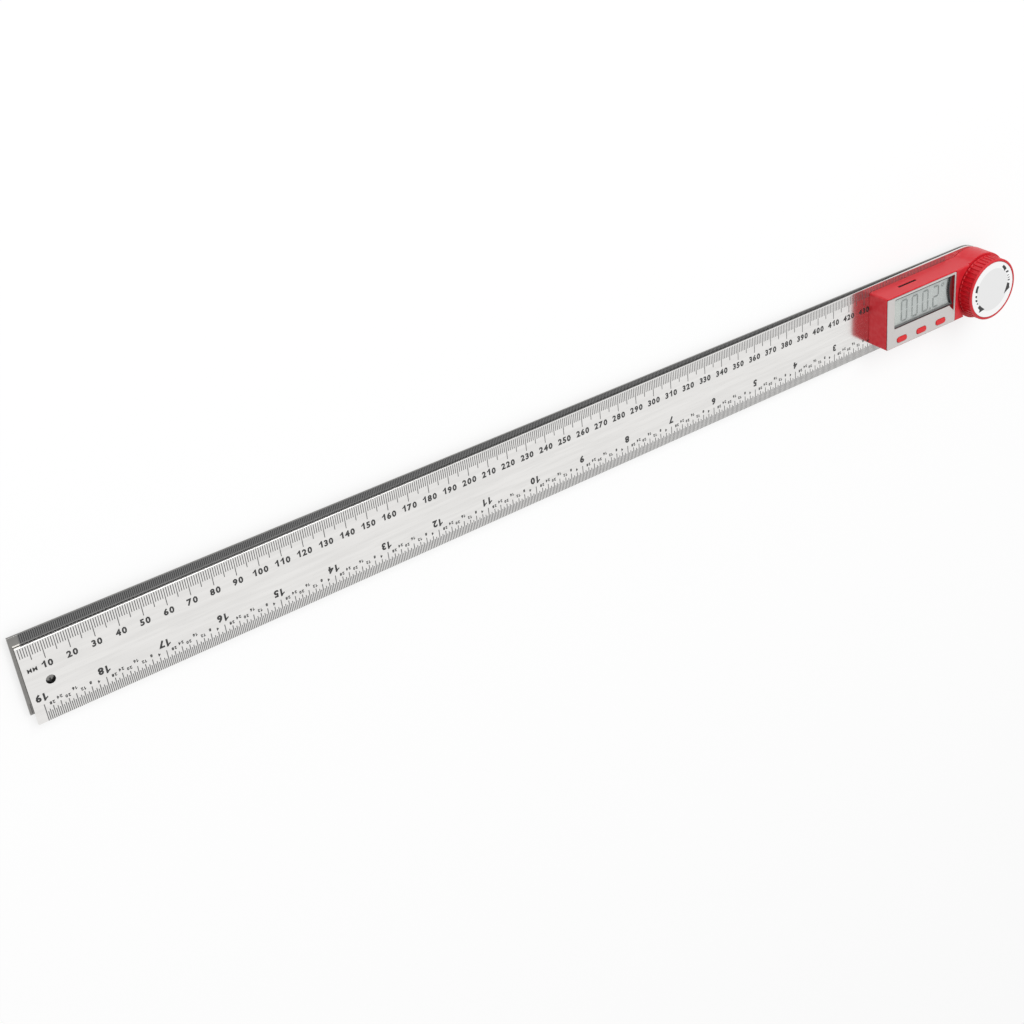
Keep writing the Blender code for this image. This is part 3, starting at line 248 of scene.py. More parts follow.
@cache
def edge_wear_group() -> bpy.types.NodeTree:
    """Wear on convex edges: the colour with its edges rubbed, and the mask of the rubbed parts."""
    number, colour = SocketKind.NUMBER, SocketKind.COLOUR
    graph, source, result = new_tree(
        "edge_wear",
        "ShaderNodeTree",
        {
            "Vector": SocketKind.VECTOR,
            "Color": colour,
            "Worn Color": colour,
            "Amount": number,
            "Scale": number,
        },
        {"Color": colour, "Mask": number},
    )
    pointed = graph.add("ShaderNodeNewGeometry").outputs["Pointiness"]
    patches = graph.ramp(graph.noise(source.outputs["Vector"], source.outputs["Scale"], 4.0), 0.4, 0.65)
    edge = graph.ramp(pointed, 0.51, 0.56)
    mask = graph.math("MULTIPLY", graph.math("MULTIPLY", edge, patches), source.outputs["Amount"])
    graph.feed(result.inputs["Color"], graph.mix(mask, source.outputs["Color"], source.outputs["Worn Color"]))
    graph.feed(result.inputs["Mask"], mask)
    return graph.tree


@cache
def dust_group() -> bpy.types.NodeTree:
    """Thin dust on faces that look up: the dusted colour, and its mask."""
    number, colour = SocketKind.NUMBER, SocketKind.COLOUR
    graph, source, result = new_tree(
        "light_dust",
        "ShaderNodeTree",
        {
            "Vector": SocketKind.VECTOR,
            "Color": colour,
            "Dust Color": colour,
            "Amount": number,
            "Scale": number,
        },
        {"Color": colour, "Mask": number},
    )
    normal = graph.add("ShaderNodeNewGeometry").outputs["Normal"]
    up = graph.ramp(graph.split(normal)[2], 0.2, 1.0)
    patches = graph.ramp(graph.noise(source.outputs["Vector"], source.outputs["Scale"], 5.0), 0.45, 0.8)
    mask = graph.math("MULTIPLY", graph.math("MULTIPLY", up, patches), source.outputs["Amount"])
    graph.feed(result.inputs["Color"], graph.mix(mask, source.outputs["Color"], source.outputs["Dust Color"]))
    graph.feed(result.inputs["Mask"], mask)
    return graph.tree


@dataclass(frozen=True)
class Finish:
    """A surface's colour and roughness. Each kind of surface adds its own detail in dress."""

    name: str
    colour: Colour
    roughness: float

    def material(self) -> bpy.types.Material:
        """The finish's material, made once."""
        label = "look_" + self.name
        found = bpy.data.materials.get(label)
        if found:
            return found
        made = bpy.data.materials.new(label)
        made.use_nodes = True
        made.node_tree.nodes.clear()
        graph = Graph(made.node_tree)
        shader = graph.add("ShaderNodeBsdfPrincipled")
        graph.add("ShaderNodeOutputMaterial", {"Surface": shader.outputs[0]})
        self.dress(graph, shader)
        return made

    def dress(self, graph: Graph, shader: bpy.types.Node) -> None:
        """Feeds the shader."""
        raise NotImplementedError

    @staticmethod
    def place(graph: Graph, turn: float = 0.0) -> bpy.types.NodeSocket:
        """Object coordinates, turned back about Z by an angle where the piece lies turned."""
        coordinates = graph.add("ShaderNodeTexCoord").outputs["Object"]
        if not turn:
            return coordinates
        inputs = {"Vector": coordinates, "Rotation": (0.0, 0.0, -turn)}
        return graph.add("ShaderNodeMapping", inputs).outputs[0]


@dataclass(frozen=True)
class PlasticFinish(Finish):
    """Moulded plastic: fine grain, faintly rubbed edges and a trace of dust."""

    grain_size: float = 0.12 * MM
    grain_depth: float = 0.004 * MM
    spread: float = 0.03
    worn_colour: Colour = (0.75, 0.2, 0.2)
    wear: float = 0.1
    dust: float = 0.01
    dust_colour: Colour = (0.6, 0.57, 0.53)
    specular: float = 0.35

    def dress(self, graph: Graph, shader: bpy.types.Node) -> None:
        """Feeds the colour through wear and dust, and the roughness and bump from the grain."""
        place = self.place(graph)
        scale = 1.0 / self.grain_size
        grain = graph.group(
            grain_group(),
            {"Vector": place, "Scale": scale, "Roughness": self.roughness, "Spread": self.spread},
        )
        wear = graph.group(
            edge_wear_group(),
            {
                "Vector": place,
                "Color": self.colour,
                "Worn Color": self.worn_colour,
                "Amount": self.wear,
                "Scale": scale / 20.0,
            },
        )
        dust = graph.group(
            dust_group(),
            {
                "Vector": place,
                "Color": wear.outputs["Color"],
                "Dust Color": self.dust_colour,
                "Amount": self.dust,
                "Scale": scale / 30.0,
            },
        )
        shader.inputs["Specular IOR Level"].default_value = self.specular
        graph.feed(shader.inputs["Base Color"], dust.outputs["Color"])
        graph.feed(shader.inputs["Roughness"], grain.outputs["Roughness"])
        graph.bump(shader, grain.outputs["Height"], self.grain_depth)


@dataclass(frozen=True)
class SteelFinish(Finish):
    """Steel brushed along X. A band of painted dark reflection may lie along both edges of a rule's scale
    face, and painted shade in and round its hang hole.
    """

    line_length: float = 9.0 * MM
    line_width: float = 0.09 * MM
    line_depth: float = 0.0006 * MM
    spread: float = 0.05
    turn: float = 0.0
    band_colour: Colour | None = None
    band_width: float = 4.9 * MM
    band_start: float = 0.0
    band_soft: float = 0.2 * MM
    band_start_soft: float = 0.3 * MM
    face_depth: float = 0.15 * MM
    half_width: float = 18.0 * MM
    face: float = 0.0
    hole: Point | None = None
    hole_radius: float = 1.97 * MM
    hole_colour: Colour = (0.02, 0.02, 0.02)

    def dress(self, graph: Graph, shader: bpy.types.Node) -> None:
        """Feeds the tone, roughness and bump from the brushed lines."""
        place = self.place(graph, self.turn)
        brushed = graph.group(
            brushed_group(),
            {
                "Vector": place,
                "Along": 1.0 / self.line_length,
                "Across": 1.0 / self.line_width,
                "Roughness": self.roughness,
                "Spread": self.spread,
            },
        )
        colour: Any = self.colour
        # Painted dark reflection along both edges of the scale face.
        if self.band_colour:
            colour = graph.mix(self.band_mask(graph, place), self.colour, self.band_colour)
        # Painted shade in and round the hang hole.
        if self.hole:
            colour = graph.mix(self.hole_mask(graph, place), colour, self.hole_colour)
        shader.inputs["Metallic"].default_value = 1.0
        graph.feed(shader.inputs["Base Color"], graph.tint(colour, brushed.outputs["Tone"]))
        graph.feed(shader.inputs["Roughness"], brushed.outputs["Roughness"])
        graph.bump(shader, brushed.outputs["Height"], self.line_depth)

    def hole_mask(self, graph: Graph, place: bpy.types.NodeSocket) -> bpy.types.NodeSocket:
        """Painted shade within a radius of the hang hole's axis, as a mask: the hole's wall, and on the rear
        rule the face round it too.
        """
        x, y, _ = graph.split(place)
        along = graph.math("SUBTRACT", x, self.hole[0])
        across = graph.math("SUBTRACT", y, self.hole[1])
        return graph.math("LESS_THAN", graph.distance(along, across), self.hole_radius)

    def band_mask(self, graph: Graph, place: bpy.types.NodeSocket) -> bpy.types.NodeSocket:
        """The painted dark reflection near both edges of the scale face, as a mask."""
        x, y, z = graph.split(place)
        inner, soft, start_soft = self.half_width - self.band_width, self.band_soft, self.band_start_soft
        near_edge = graph.ramp(graph.math("ABSOLUTE", y), inner - soft, inner + soft)
        from_start = graph.ramp(x, self.band_start - start_soft, self.band_start + start_soft)
        on_face = graph.ramp(z, self.face - self.face_depth, self.face - self.face_depth / 3)
        return graph.math("MULTIPLY", graph.math("MULTIPLY", near_edge, from_start), on_face)


@dataclass(frozen=True)
class InkFinish(Finish):
    """Etched ink, a little uneven."""

    faded: Colour = (0.12, 0.12, 0.12)
    patch: float = 0.5 * MM

    def dress(self, graph: Graph, shader: bpy.types.Node) -> None:
        """Mixes the ink with its faded tone."""
        place = self.place(graph)
        uneven = graph.ramp(graph.noise(place, 1.0 / self.patch, 4.0), 0.35, 0.75)
        graph.feed(shader.inputs["Base Color"], graph.mix(uneven, self.colour, self.faded))
        duller = self.roughness + 0.15
        graph.feed(shader.inputs["Roughness"], graph.ramp(uneven, 0.0, 1.0, self.roughness, duller))


@dataclass(frozen=True)
class SatinPlateFinish(Finish):
    """Thin plate with a satin speckle."""

    metallic: float = 0.5
    speckle: float = 0.1 * MM
    speckle_depth: float = 0.003 * MM

    def dress(self, graph: Graph, shader: bpy.types.Node) -> None:
        """Feeds a speckled colour, roughness and bump."""
        place = self.place(graph)
        grain = graph.group(
            grain_group(),
            {"Vector": place, "Scale": 1.0 / self.speckle, "Roughness": self.roughness, "Spread": 0.1},
        )
        tone = graph.ramp(grain.outputs["Height"], 0.3, 0.7, 0.9, 1.05)
        shader.inputs["Metallic"].default_value = self.metallic
        graph.feed(shader.inputs["Base Color"], graph.tint(self.colour, tone))
        graph.feed(shader.inputs["Roughness"], grain.outputs["Roughness"])
        graph.bump(shader, grain.outputs["Height"], self.speckle_depth)


@dataclass(frozen=True)
class MetalFinish(Finish):
    """Turned or plated metal with faint fine lines."""

    line_width: float = 0.2 * MM

    def dress(self, graph: Graph, shader: bpy.types.Node) -> None:
        """Feeds a drifting tone and roughness."""
        place = self.place(graph)
        brushed = graph.group(
            brushed_group(),
            {
                "Vector": place,
                "Along": 1.0 / self.line_width,
                "Across": 1.0 / self.line_width,
                "Roughness": self.roughness,
                "Spread": 0.1,
            },
        )
        shader.inputs["Metallic"].default_value = 1.0
        graph.feed(shader.inputs["Base Color"], graph.tint(self.colour, brushed.outputs["Tone"]))
        graph.feed(shader.inputs["Roughness"], brushed.outputs["Roughness"])


@dataclass(frozen=True)
class WindowFinish(Finish):
    """A clear window, seen through but for a faint veil of gloss and dust."""

    veil: float = 0.1
    smear: float = 4.0 * MM

    def dress(self, graph: Graph, shader: bpy.types.Node) -> None:
        """Keeps the window nearly see-through, a little less so where it is dusty."""
        place = self.place(graph)
        smears = graph.noise(place, 1.0 / self.smear, 3.0)
        shader.inputs["Base Color"].default_value = (*self.colour, 1.0)
        graph.feed(shader.inputs["Alpha"], graph.ramp(smears, 0.3, 0.7, self.veil * 0.7, self.veil * 1.3))
        duller = self.roughness + 0.05
        graph.feed(shader.inputs["Roughness"], graph.ramp(smears, 0.3, 0.7, self.roughness, duller))


@dataclass(frozen=True)
class DisplayFinish(Finish):
    """The display's grey-green ground, with the fine pattern of its reflector."""

    pattern: float = 0.25 * MM
    patch: float = 12.0 * MM

    def dress(self, graph: Graph, shader: bpy.types.Node) -> None:
        """Feeds a softly mottled colour."""
        place = self.place(graph)
        mottle = graph.noise(place, 1.0 / self.pattern, 2.0)
        slow = graph.ramp(graph.noise(place, 1.0 / self.patch, 1.0), 0.3, 0.7, 0.96, 1.03)
        tone = graph.math("MULTIPLY", graph.ramp(mottle, 0.3, 0.7, 0.97, 1.02), slow)
        duller = self.roughness + 0.05
        graph.feed(shader.inputs["Base Color"], graph.tint(self.colour, tone))
        graph.feed(shader.inputs["Roughness"], graph.ramp(mottle, 0.3, 0.7, self.roughness, duller))


@dataclass(frozen=True)
class DialFinish(Finish):
    """The knob disc's paint: a grey centre in a white ring."""

    centre_colour: Colour = (0.79, 0.79, 0.79)
    centre_radius: float = 11.1 * MM
    paint_edge: float = 0.06 * MM
    speckle: float = 0.3 * MM

    def dress(self, graph: Graph, shader: bpy.types.Node) -> None:
        """Feeds the ring and the centre, told apart by their distance from the axis."""
        place = self.place(graph)
        x, y, _ = graph.split(place)
        inner, outer = self.centre_radius - self.paint_edge, self.centre_radius + self.paint_edge
        ring = graph.ramp(graph.distance(x, y), inner, outer)
        painted = graph.mix(ring, self.centre_colour, self.colour)
        grain = graph.group(
            grain_group(),
            {"Vector": place, "Scale": 1.0 / self.speckle, "Roughness": self.roughness, "Spread": 0.08},
        )
        graph.feed(shader.inputs["Base Color"], painted)
        graph.feed(shader.inputs["Roughness"], grain.outputs["Roughness"])


@dataclass(frozen=True)
class BoardFinish(Finish):
    """A circuit board: green lacquer over lighter tracks."""

    track_colour: Colour = (0.06, 0.3, 0.12)
    track_pitch: float = 1.3 * MM

    def dress(self, graph: Graph, shader: bpy.types.Node) -> None:
        """Draws the tracks as a cell pattern's edges."""
        place = self.place(graph)
        cells = graph.add(
            "ShaderNodeTexVoronoi",
            {"Vector": place, "Scale": 1.0 / self.track_pitch},
            feature="DISTANCE_TO_EDGE",
            distance="EUCLIDEAN",
        ).outputs[0]
        tracks = graph.ramp(cells, 0.04, 0.1, 1.0, 0.0)
        graph.feed(shader.inputs["Base Color"], graph.mix(tracks, self.colour, self.track_colour))
        duller = self.roughness + 0.1
        graph.feed(shader.inputs["Roughness"], graph.ramp(tracks, 0.0, 1.0, self.roughness, duller))


RED = PlasticFinish("red_plastic", (0.6, 0.012, 0.022), 0.36)
BUTTON_RED = PlasticFinish("button_plastic", (0.66, 0.015, 0.02), 0.3, wear=0.05)
BLACK = PlasticFinish("black_plastic", (0.03, 0.03, 0.032), 0.45, worn_colour=(0.2, 0.2, 0.2))
# The display frame's own black; the port's liner and the frame's drawn-up walls use it as painted shade.
FRAME_BLACK = PlasticFinish("display_frame", (0.03, 0.026, 0.027), 0.4, wear=0.0, dust=0.0)
# A grey strip of painted shade on the display pocket's lower wall.
SHADE_STRIP_GREY = PlasticFinish("display_shade_strip", (0.17, 0.17, 0.17), 0.5, wear=0.0, dust=0.0)
# Painted shade on the display pocket's floor.
POCKET_SHADE_RED = PlasticFinish("painted_shade_film", (0.13, 0.008, 0.01), 0.4, wear=0.0, dust=0.0)
SILVER = SatinPlateFinish("silver_plate", (0.6, 0.575, 0.56), 0.38)
TICK_INK = InkFinish("tick_ink", (0.075, 0.075, 0.075), 0.45, faded=(0.12, 0.12, 0.12))
INCH_TICK_INK = InkFinish("inch_tick_ink", (0.13, 0.13, 0.13), 0.45, faded=(0.18, 0.18, 0.18))
NUMERAL_INK = InkFinish("numeral_ink", (0.012, 0.012, 0.012), 0.4, faded=(0.05, 0.05, 0.05))
SEGMENT_INK = InkFinish("display_segments", (0.13, 0.15, 0.145), 0.3, faded=(0.16, 0.18, 0.175))
SHADE_INK = InkFinish("display_shade", (0.3, 0.33, 0.32), 0.3, faded=(0.34, 0.37, 0.36))
DISC_INK = InkFinish("disc_ink", (0.008, 0.008, 0.008), 0.35, faded=(0.02, 0.02, 0.02))
WINDOW = WindowFinish("clear_window", (0.9, 0.93, 0.91), 0.05)
LCD = DisplayFinish("display_glass", (0.45, 0.48, 0.47), 0.25)
LCD_MARGIN = DisplayFinish("display_margin", (0.5, 0.535, 0.505), 0.25)
DIAL = DialFinish("white_disc", (0.91, 0.91, 0.91), 0.3)
GREEN_BOARD = BoardFinish("circuit_board", (0.02, 0.15, 0.05), 0.35)
RUBBER = PlasticFinish("contact_rubber", (0.16, 0.16, 0.16), 0.8, wear=0.0, worn_colour=(0.2, 0.2, 0.2))
BRASS = MetalFinish("brass", (0.7, 0.5, 0.2), 0.3)
FILM = PlasticFinish("ribbon_film", (0.6, 0.3, 0.06), 0.35, wear=0.0)
BRIGHT = MetalFinish("bright_steel", (0.7, 0.7, 0.7), 0.25)

CARRIED_OVER: dict[Finish, tuple[str, ...]] = {
    BLACK: ("base_plate", "main_chip", "crystal"),
    GREEN_BOARD: ("circuit_board", "rotor_disc", "stator_disc"),
    RUBBER: ("contact_strip_lower", "contact_strip_upper"),
    BRASS: ("knob_nut",),
    FILM: ("ribbon_cable",),
    BRIGHT: (
        "pivot_hub",
        "hub_rivet_1",
        "hub_rivet_2",
        "hub_rivet_3",
        "lock_spindle",
        "spring_washer",
        "coin_cell",
        "cell_contact_top",
        "cell_contact_side",
        "dome_switch_left",
        "dome_switch_middle",
        "dome_switch_right",
        "board_screw_1",
        "board_screw_2",
    ),
}


def show_mesh(name: str, mesh: bpy.types.Mesh, finish: Finish | None = None) -> bpy.types.Object:
    """Puts a mesh in the scene as an object at the origin."""
    obj = bpy.data.objects.new(name, mesh)
    bpy.context.scene.collection.objects.link(obj)
    if finish:
        mesh.materials.clear()
        mesh.materials.append(finish.material())
    return obj


def show_bmesh(name: str, bm: bmesh.types.BMesh, finish: Finish | None = None) -> bpy.types.Object:
    """Puts a bmesh in the scene as an object at the origin."""
    mesh = bpy.data.meshes.new(name)
    bm.to_mesh(mesh)
    bm.free()
    return show_mesh(name, mesh, finish)


def settle(obj: bpy.types.Object) -> bpy.types.Object:
    """Turns an object's evaluated shape into its plain mesh and drops its modifiers."""
    graph = bpy.context.evaluated_depsgraph_get()
    mesh = bpy.data.meshes.new_from_object(
        obj.evaluated_get(graph), preserve_all_data_layers=True, depsgraph=graph
    )
    obj.modifiers.clear()
    obj.data = mesh
    mesh.name = obj.name
    return obj


def deliver(
    obj: bpy.types.Object, body: str, replaces: Sequence[str] = ()
) -> bpy.types.Object:
    """Hands a finished piece over to the frame and reports it.

    Args:
        obj: The piece, in place.
        body: The body that it moves with.
        replaces: The nodes that it stands for.

    Returns:
        The piece.
    """
    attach(obj, body)
    if replaces:
        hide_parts(*replaces)
    LOG.info("%s: %d faces, on %s", obj.name, len(obj.data.polygons), body)
    return obj


def refined_copy(
    node: str,
    name: str,
    finish: Finish,
    edge: float,
    segments: int = 3,
    chosen: Callable[[Vector], bool] = bool,
) -> bpy.types.Object:
    """Copies a node's solid, merges its faces and rounds its edges.

    Args:
        node: The node to copy.
        name: The new piece's name.
        finish: Its finish.
        edge: The width of its rounded edges.
        segments: How many faces round an edge.
        chosen: Tells from its middle whether an edge is rounded.

    Returns:
        The piece as a plain mesh.
    """
    bm = bmesh.new()
    bm.from_mesh(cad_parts[node].data)
    bmesh.ops.remove_doubles(bm, verts=bm.verts, dist=MERGE_DISTANCE)
    bmesh.ops.dissolve_limit(
        bm, angle_limit=FLAT_ANGLE, verts=bm.verts, edges=bm.edges, delimit={"NORMAL"}
    )
    for face in bm.faces:
        face.smooth = True
    weight = bm.edges.layers.float.new("bevel_weight_edge")
    for side in bm.edges:
        sharp = side.is_manifold and side.calc_face_angle() > SHARP_ANGLE
        side.smooth = not sharp
        side[weight] = float(sharp and chosen((side.verts[0].co + side.verts[1].co) / 2))
    obj = show_bmesh(name, bm, finish)
    bevel = obj.modifiers.new("edges", "BEVEL")
    bevel.width = edge
    bevel.segments = segments
    bevel.limit_method = "WEIGHT"
    bevel.use_clamp_overlap = False
    weighted = obj.modifiers.new("normals", "WEIGHTED_NORMAL")
    weighted.keep_sharp = True
    return settle(obj)


def merged_copy(node: str, name: str, finish: Finish) -> bpy.types.Object:
    """Copies a node's solid with its triangles joined, its flat faces flat and its edges sharp."""
    bm = bmesh.new()
    bm.from_mesh(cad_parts[node].data)
    bmesh.ops.remove_doubles(bm, verts=bm.verts, dist=MERGE_DISTANCE)
    return sharpen(show_bmesh(name, bm, finish))


def set_inputs(modifier: bpy.types.NodesModifier, values: dict[str, Any]) -> None:
    """Sets a Geometry Nodes modifier's inputs by their sockets' identifiers."""
    sockets = {
        item.name: item.identifier
        for item in modifier.node_group.interface.items_tree
        if item.item_type == "SOCKET" and item.in_out == "INPUT"
    }
    for name, value in values.items():
        modifier[sockets[name]] = value


def grown(obj: bpy.types.Object, tree: bpy.types.NodeTree, values: dict[str, Any]) -> bpy.types.Object:
    """Runs an object through a Geometry Nodes tree and keeps the result as its plain mesh."""
    modifier = obj.modifiers.new(tree.name, "NODES")
    modifier.node_group = tree
    set_inputs(modifier, values)
    obj.update_tag()
    return settle(obj)


@cache
def tick_tree() -> bpy.types.NodeTree:
    """A row of scale marks: bars of five lengths, told apart by their number on the scale."""
    number, count = SocketKind.NUMBER, SocketKind.COUNT
    graph, source, result = new_tree(
        "scale_marks",
        "GeometryNodeTree",
        {
            "Geometry": SocketKind.SHAPE,
            "Count": count,
            "First Number": count,
            "Start": SocketKind.VECTOR,
            "Step": SocketKind.VECTOR,
            "Side": number,
            "Length": number,
            "Second Every": count,
            "Second Length": number,
            "Third Every": count,
            "Third Length": number,
            "Fourth Every": count,
            "Fourth Length": number,
            "Fifth Every": count,
            "Fifth Length": number,
            "Width": number,
            "Thickness": number,
            "Material": SocketKind.MATERIAL,
        },
        {"Geometry": SocketKind.SHAPE},
    )
    given = source.outputs
    line = graph.add(
        "GeometryNodeMeshLine",
        {"Count": given["Count"], "Start Location": given["Start"], "Offset": given["Step"]},
        mode="OFFSET",
    )
    index = graph.add("GeometryNodeInputIndex").outputs[0]
    place = graph.math("ADD", index, given["First Number"])
    length = given["Length"]
    for rank in ("Second", "Third", "Fourth", "Fifth"):
        rest = graph.math("MODULO", place, given[f"{rank} Every"])
        chosen = graph.math("LESS_THAN", rest, 0.5)
        length = graph.math("MAXIMUM", length, graph.math("MULTIPLY", chosen, given[f"{rank} Length"]))
    bar = graph.add("GeometryNodeMeshCube", {"Size": (1.0, 1.0, 1.0)})
    inward = graph.math("MULTIPLY", given["Side"], -0.5)
    shift = graph.joined({1: inward, 2: 0.5})
    from_edge = graph.add("GeometryNodeTransform", {"Geometry": bar.outputs["Mesh"], "Translation": shift})
    size = graph.joined({0: given["Width"], 1: length, 2: given["Thickness"]})
    marks = graph.add(
        "GeometryNodeInstanceOnPoints",
        {"Points": line.outputs["Mesh"], "Instance": from_edge.outputs["Geometry"], "Scale": size},
    )
    real = graph.add("GeometryNodeRealizeInstances", {"Geometry": marks.outputs["Instances"]})
    inked = graph.add(
        "GeometryNodeSetMaterial", {"Geometry": real.outputs["Geometry"], "Material": given["Material"]}
    )
    graph.feed(result.inputs["Geometry"], inked.outputs["Geometry"])
    return graph.tree


FIGURE_ONE: tuple[Point, ...] = (
    (0.33, 0.0),
    (0.56, 0.0),
    (0.56, 1.0),
    (0.38, 1.0),
    (0.31, 0.88),
    (0.20, 0.78),
    (0.05, 0.71),
    (0.05, 0.53),
    (0.20, 0.59),
    (0.33, 0.67),
)


class GlyphBook:
    """Numerals and letters as thin solids, each made once at a given height.

    The figure one has the flag of the rule's own lettering, and Blender's font gives the rest.
    """

    def __init__(self, height: float, boldness: float, gap: float) -> None:
        """Keeps the numerals' height, how much their strokes are thickened and the gap between them."""
        self.height = height
        self.boldness = boldness
        self.gap = gap
        self.made: dict[str, tuple[list[Vector], list[tuple[int, ...]]]] = {}
        self.unit = 1.0
        self.unit = self.height / self.span(self.glyph("0")[0], 1)[1]
        self.made.clear()

    @staticmethod
    def span(points: Iterable[Vector], axis: int) -> tuple[float, float]:
        """The lowest place along an axis and the extent from it."""
        places = [p[axis] for p in points]
        return min(places), max(places) - min(places)

    def glyph(self, character: str) -> tuple[list[Vector], list[tuple[int, ...]]]:
        """A character's corners and faces, its left edge at X = 0, its base at Y = 0, from Z = 0 to 1."""
        if character in self.made:
            return self.made[character]
        if character == "1":
            return self.figure_one()
        curve = bpy.data.curves.new("glyph", "FONT")
        curve.body = character
        curve.offset = self.boldness
        curve.extrude = 0.5
        curve.resolution_u = 2
        obj = show_mesh("glyph", curve)
        graph = bpy.context.evaluated_depsgraph_get()
        mesh = bpy.data.meshes.new_from_object(obj.evaluated_get(graph))
        bm = bmesh.new()
        bm.from_mesh(mesh)
        bmesh.ops.remove_doubles(bm, verts=bm.verts, dist=0.0001)
        left = self.span([v.co for v in bm.verts], 0)[0]
        points = [
            Vector(((v.co.x - left) * self.unit, v.co.y * self.unit, v.co.z + 0.5)) for v in bm.verts
        ]
        bm.verts.index_update()
        faces = [tuple(v.index for v in face.verts) for face in bm.faces]
        bm.free()
        bpy.data.objects.remove(obj)
        bpy.data.curves.remove(curve)
        bpy.data.meshes.remove(mesh)
        self.made[character] = (points, faces)
        return self.made[character]

    def figure_one(self) -> tuple[list[Vector], list[tuple[int, ...]]]:
        """The figure one as a thin solid on its own outline."""
        count = len(FIGURE_ONE)
        points = [Vector((x * self.height, y * self.height, z)) for z in (0.0, 1.0) for x, y in FIGURE_ONE]
        faces: list[tuple[int, ...]] = [
            (i, (i + 1) % count, (i + 1) % count + count, i + count) for i in range(count)
        ]
        faces += [tuple(reversed(range(count))), tuple(range(count, 2 * count))]
        self.made["1"] = (points, faces)
        return self.made["1"]

    def width(self, character: str) -> float:
        """How wide a character's own room is. The figure one has as much room as a nought."""
        return self.span(self.glyph("0" if character == "1" else character)[0], 0)[1]

    def label(self, text: str) -> tuple[list[Vector], list[tuple[int, ...]]]:
        """A line of characters, centred on the origin, from Z = 0 to 1."""
        points: list[Vector] = []
        faces: list[tuple[int, ...]] = []
        cursor = 0.0
        for character in text:
            if character == " ":
                cursor += self.height * 0.4
                continue
            own, own_faces = self.glyph(character)
            start = len(points)
            points += [Vector((p.x + cursor, p.y, p.z)) for p in own]
            faces += [tuple(i + start for i in face) for face in own_faces]
            cursor += self.width(character) + self.gap
        middle = Vector(((cursor - self.gap) / 2, self.height / 2, 0.0))
        return [p - middle for p in points], faces


class Edge(Enum):
    """A rule's two long edges. Marks along the lower one read from below."""

    UPPER = 1
    LOWER = -1


@dataclass(frozen=True)
class ScaleMarks:
    """The marks of one scale: their lengths from the edge, and where its numerals lie."""

    first: float
    step: float
    start_number: int
    count: int
    edge_gap: float
    lengths: tuple[float, float, float, float, float]
    every: tuple[int, int, int, int]
    width: float
    ink: InkFinish


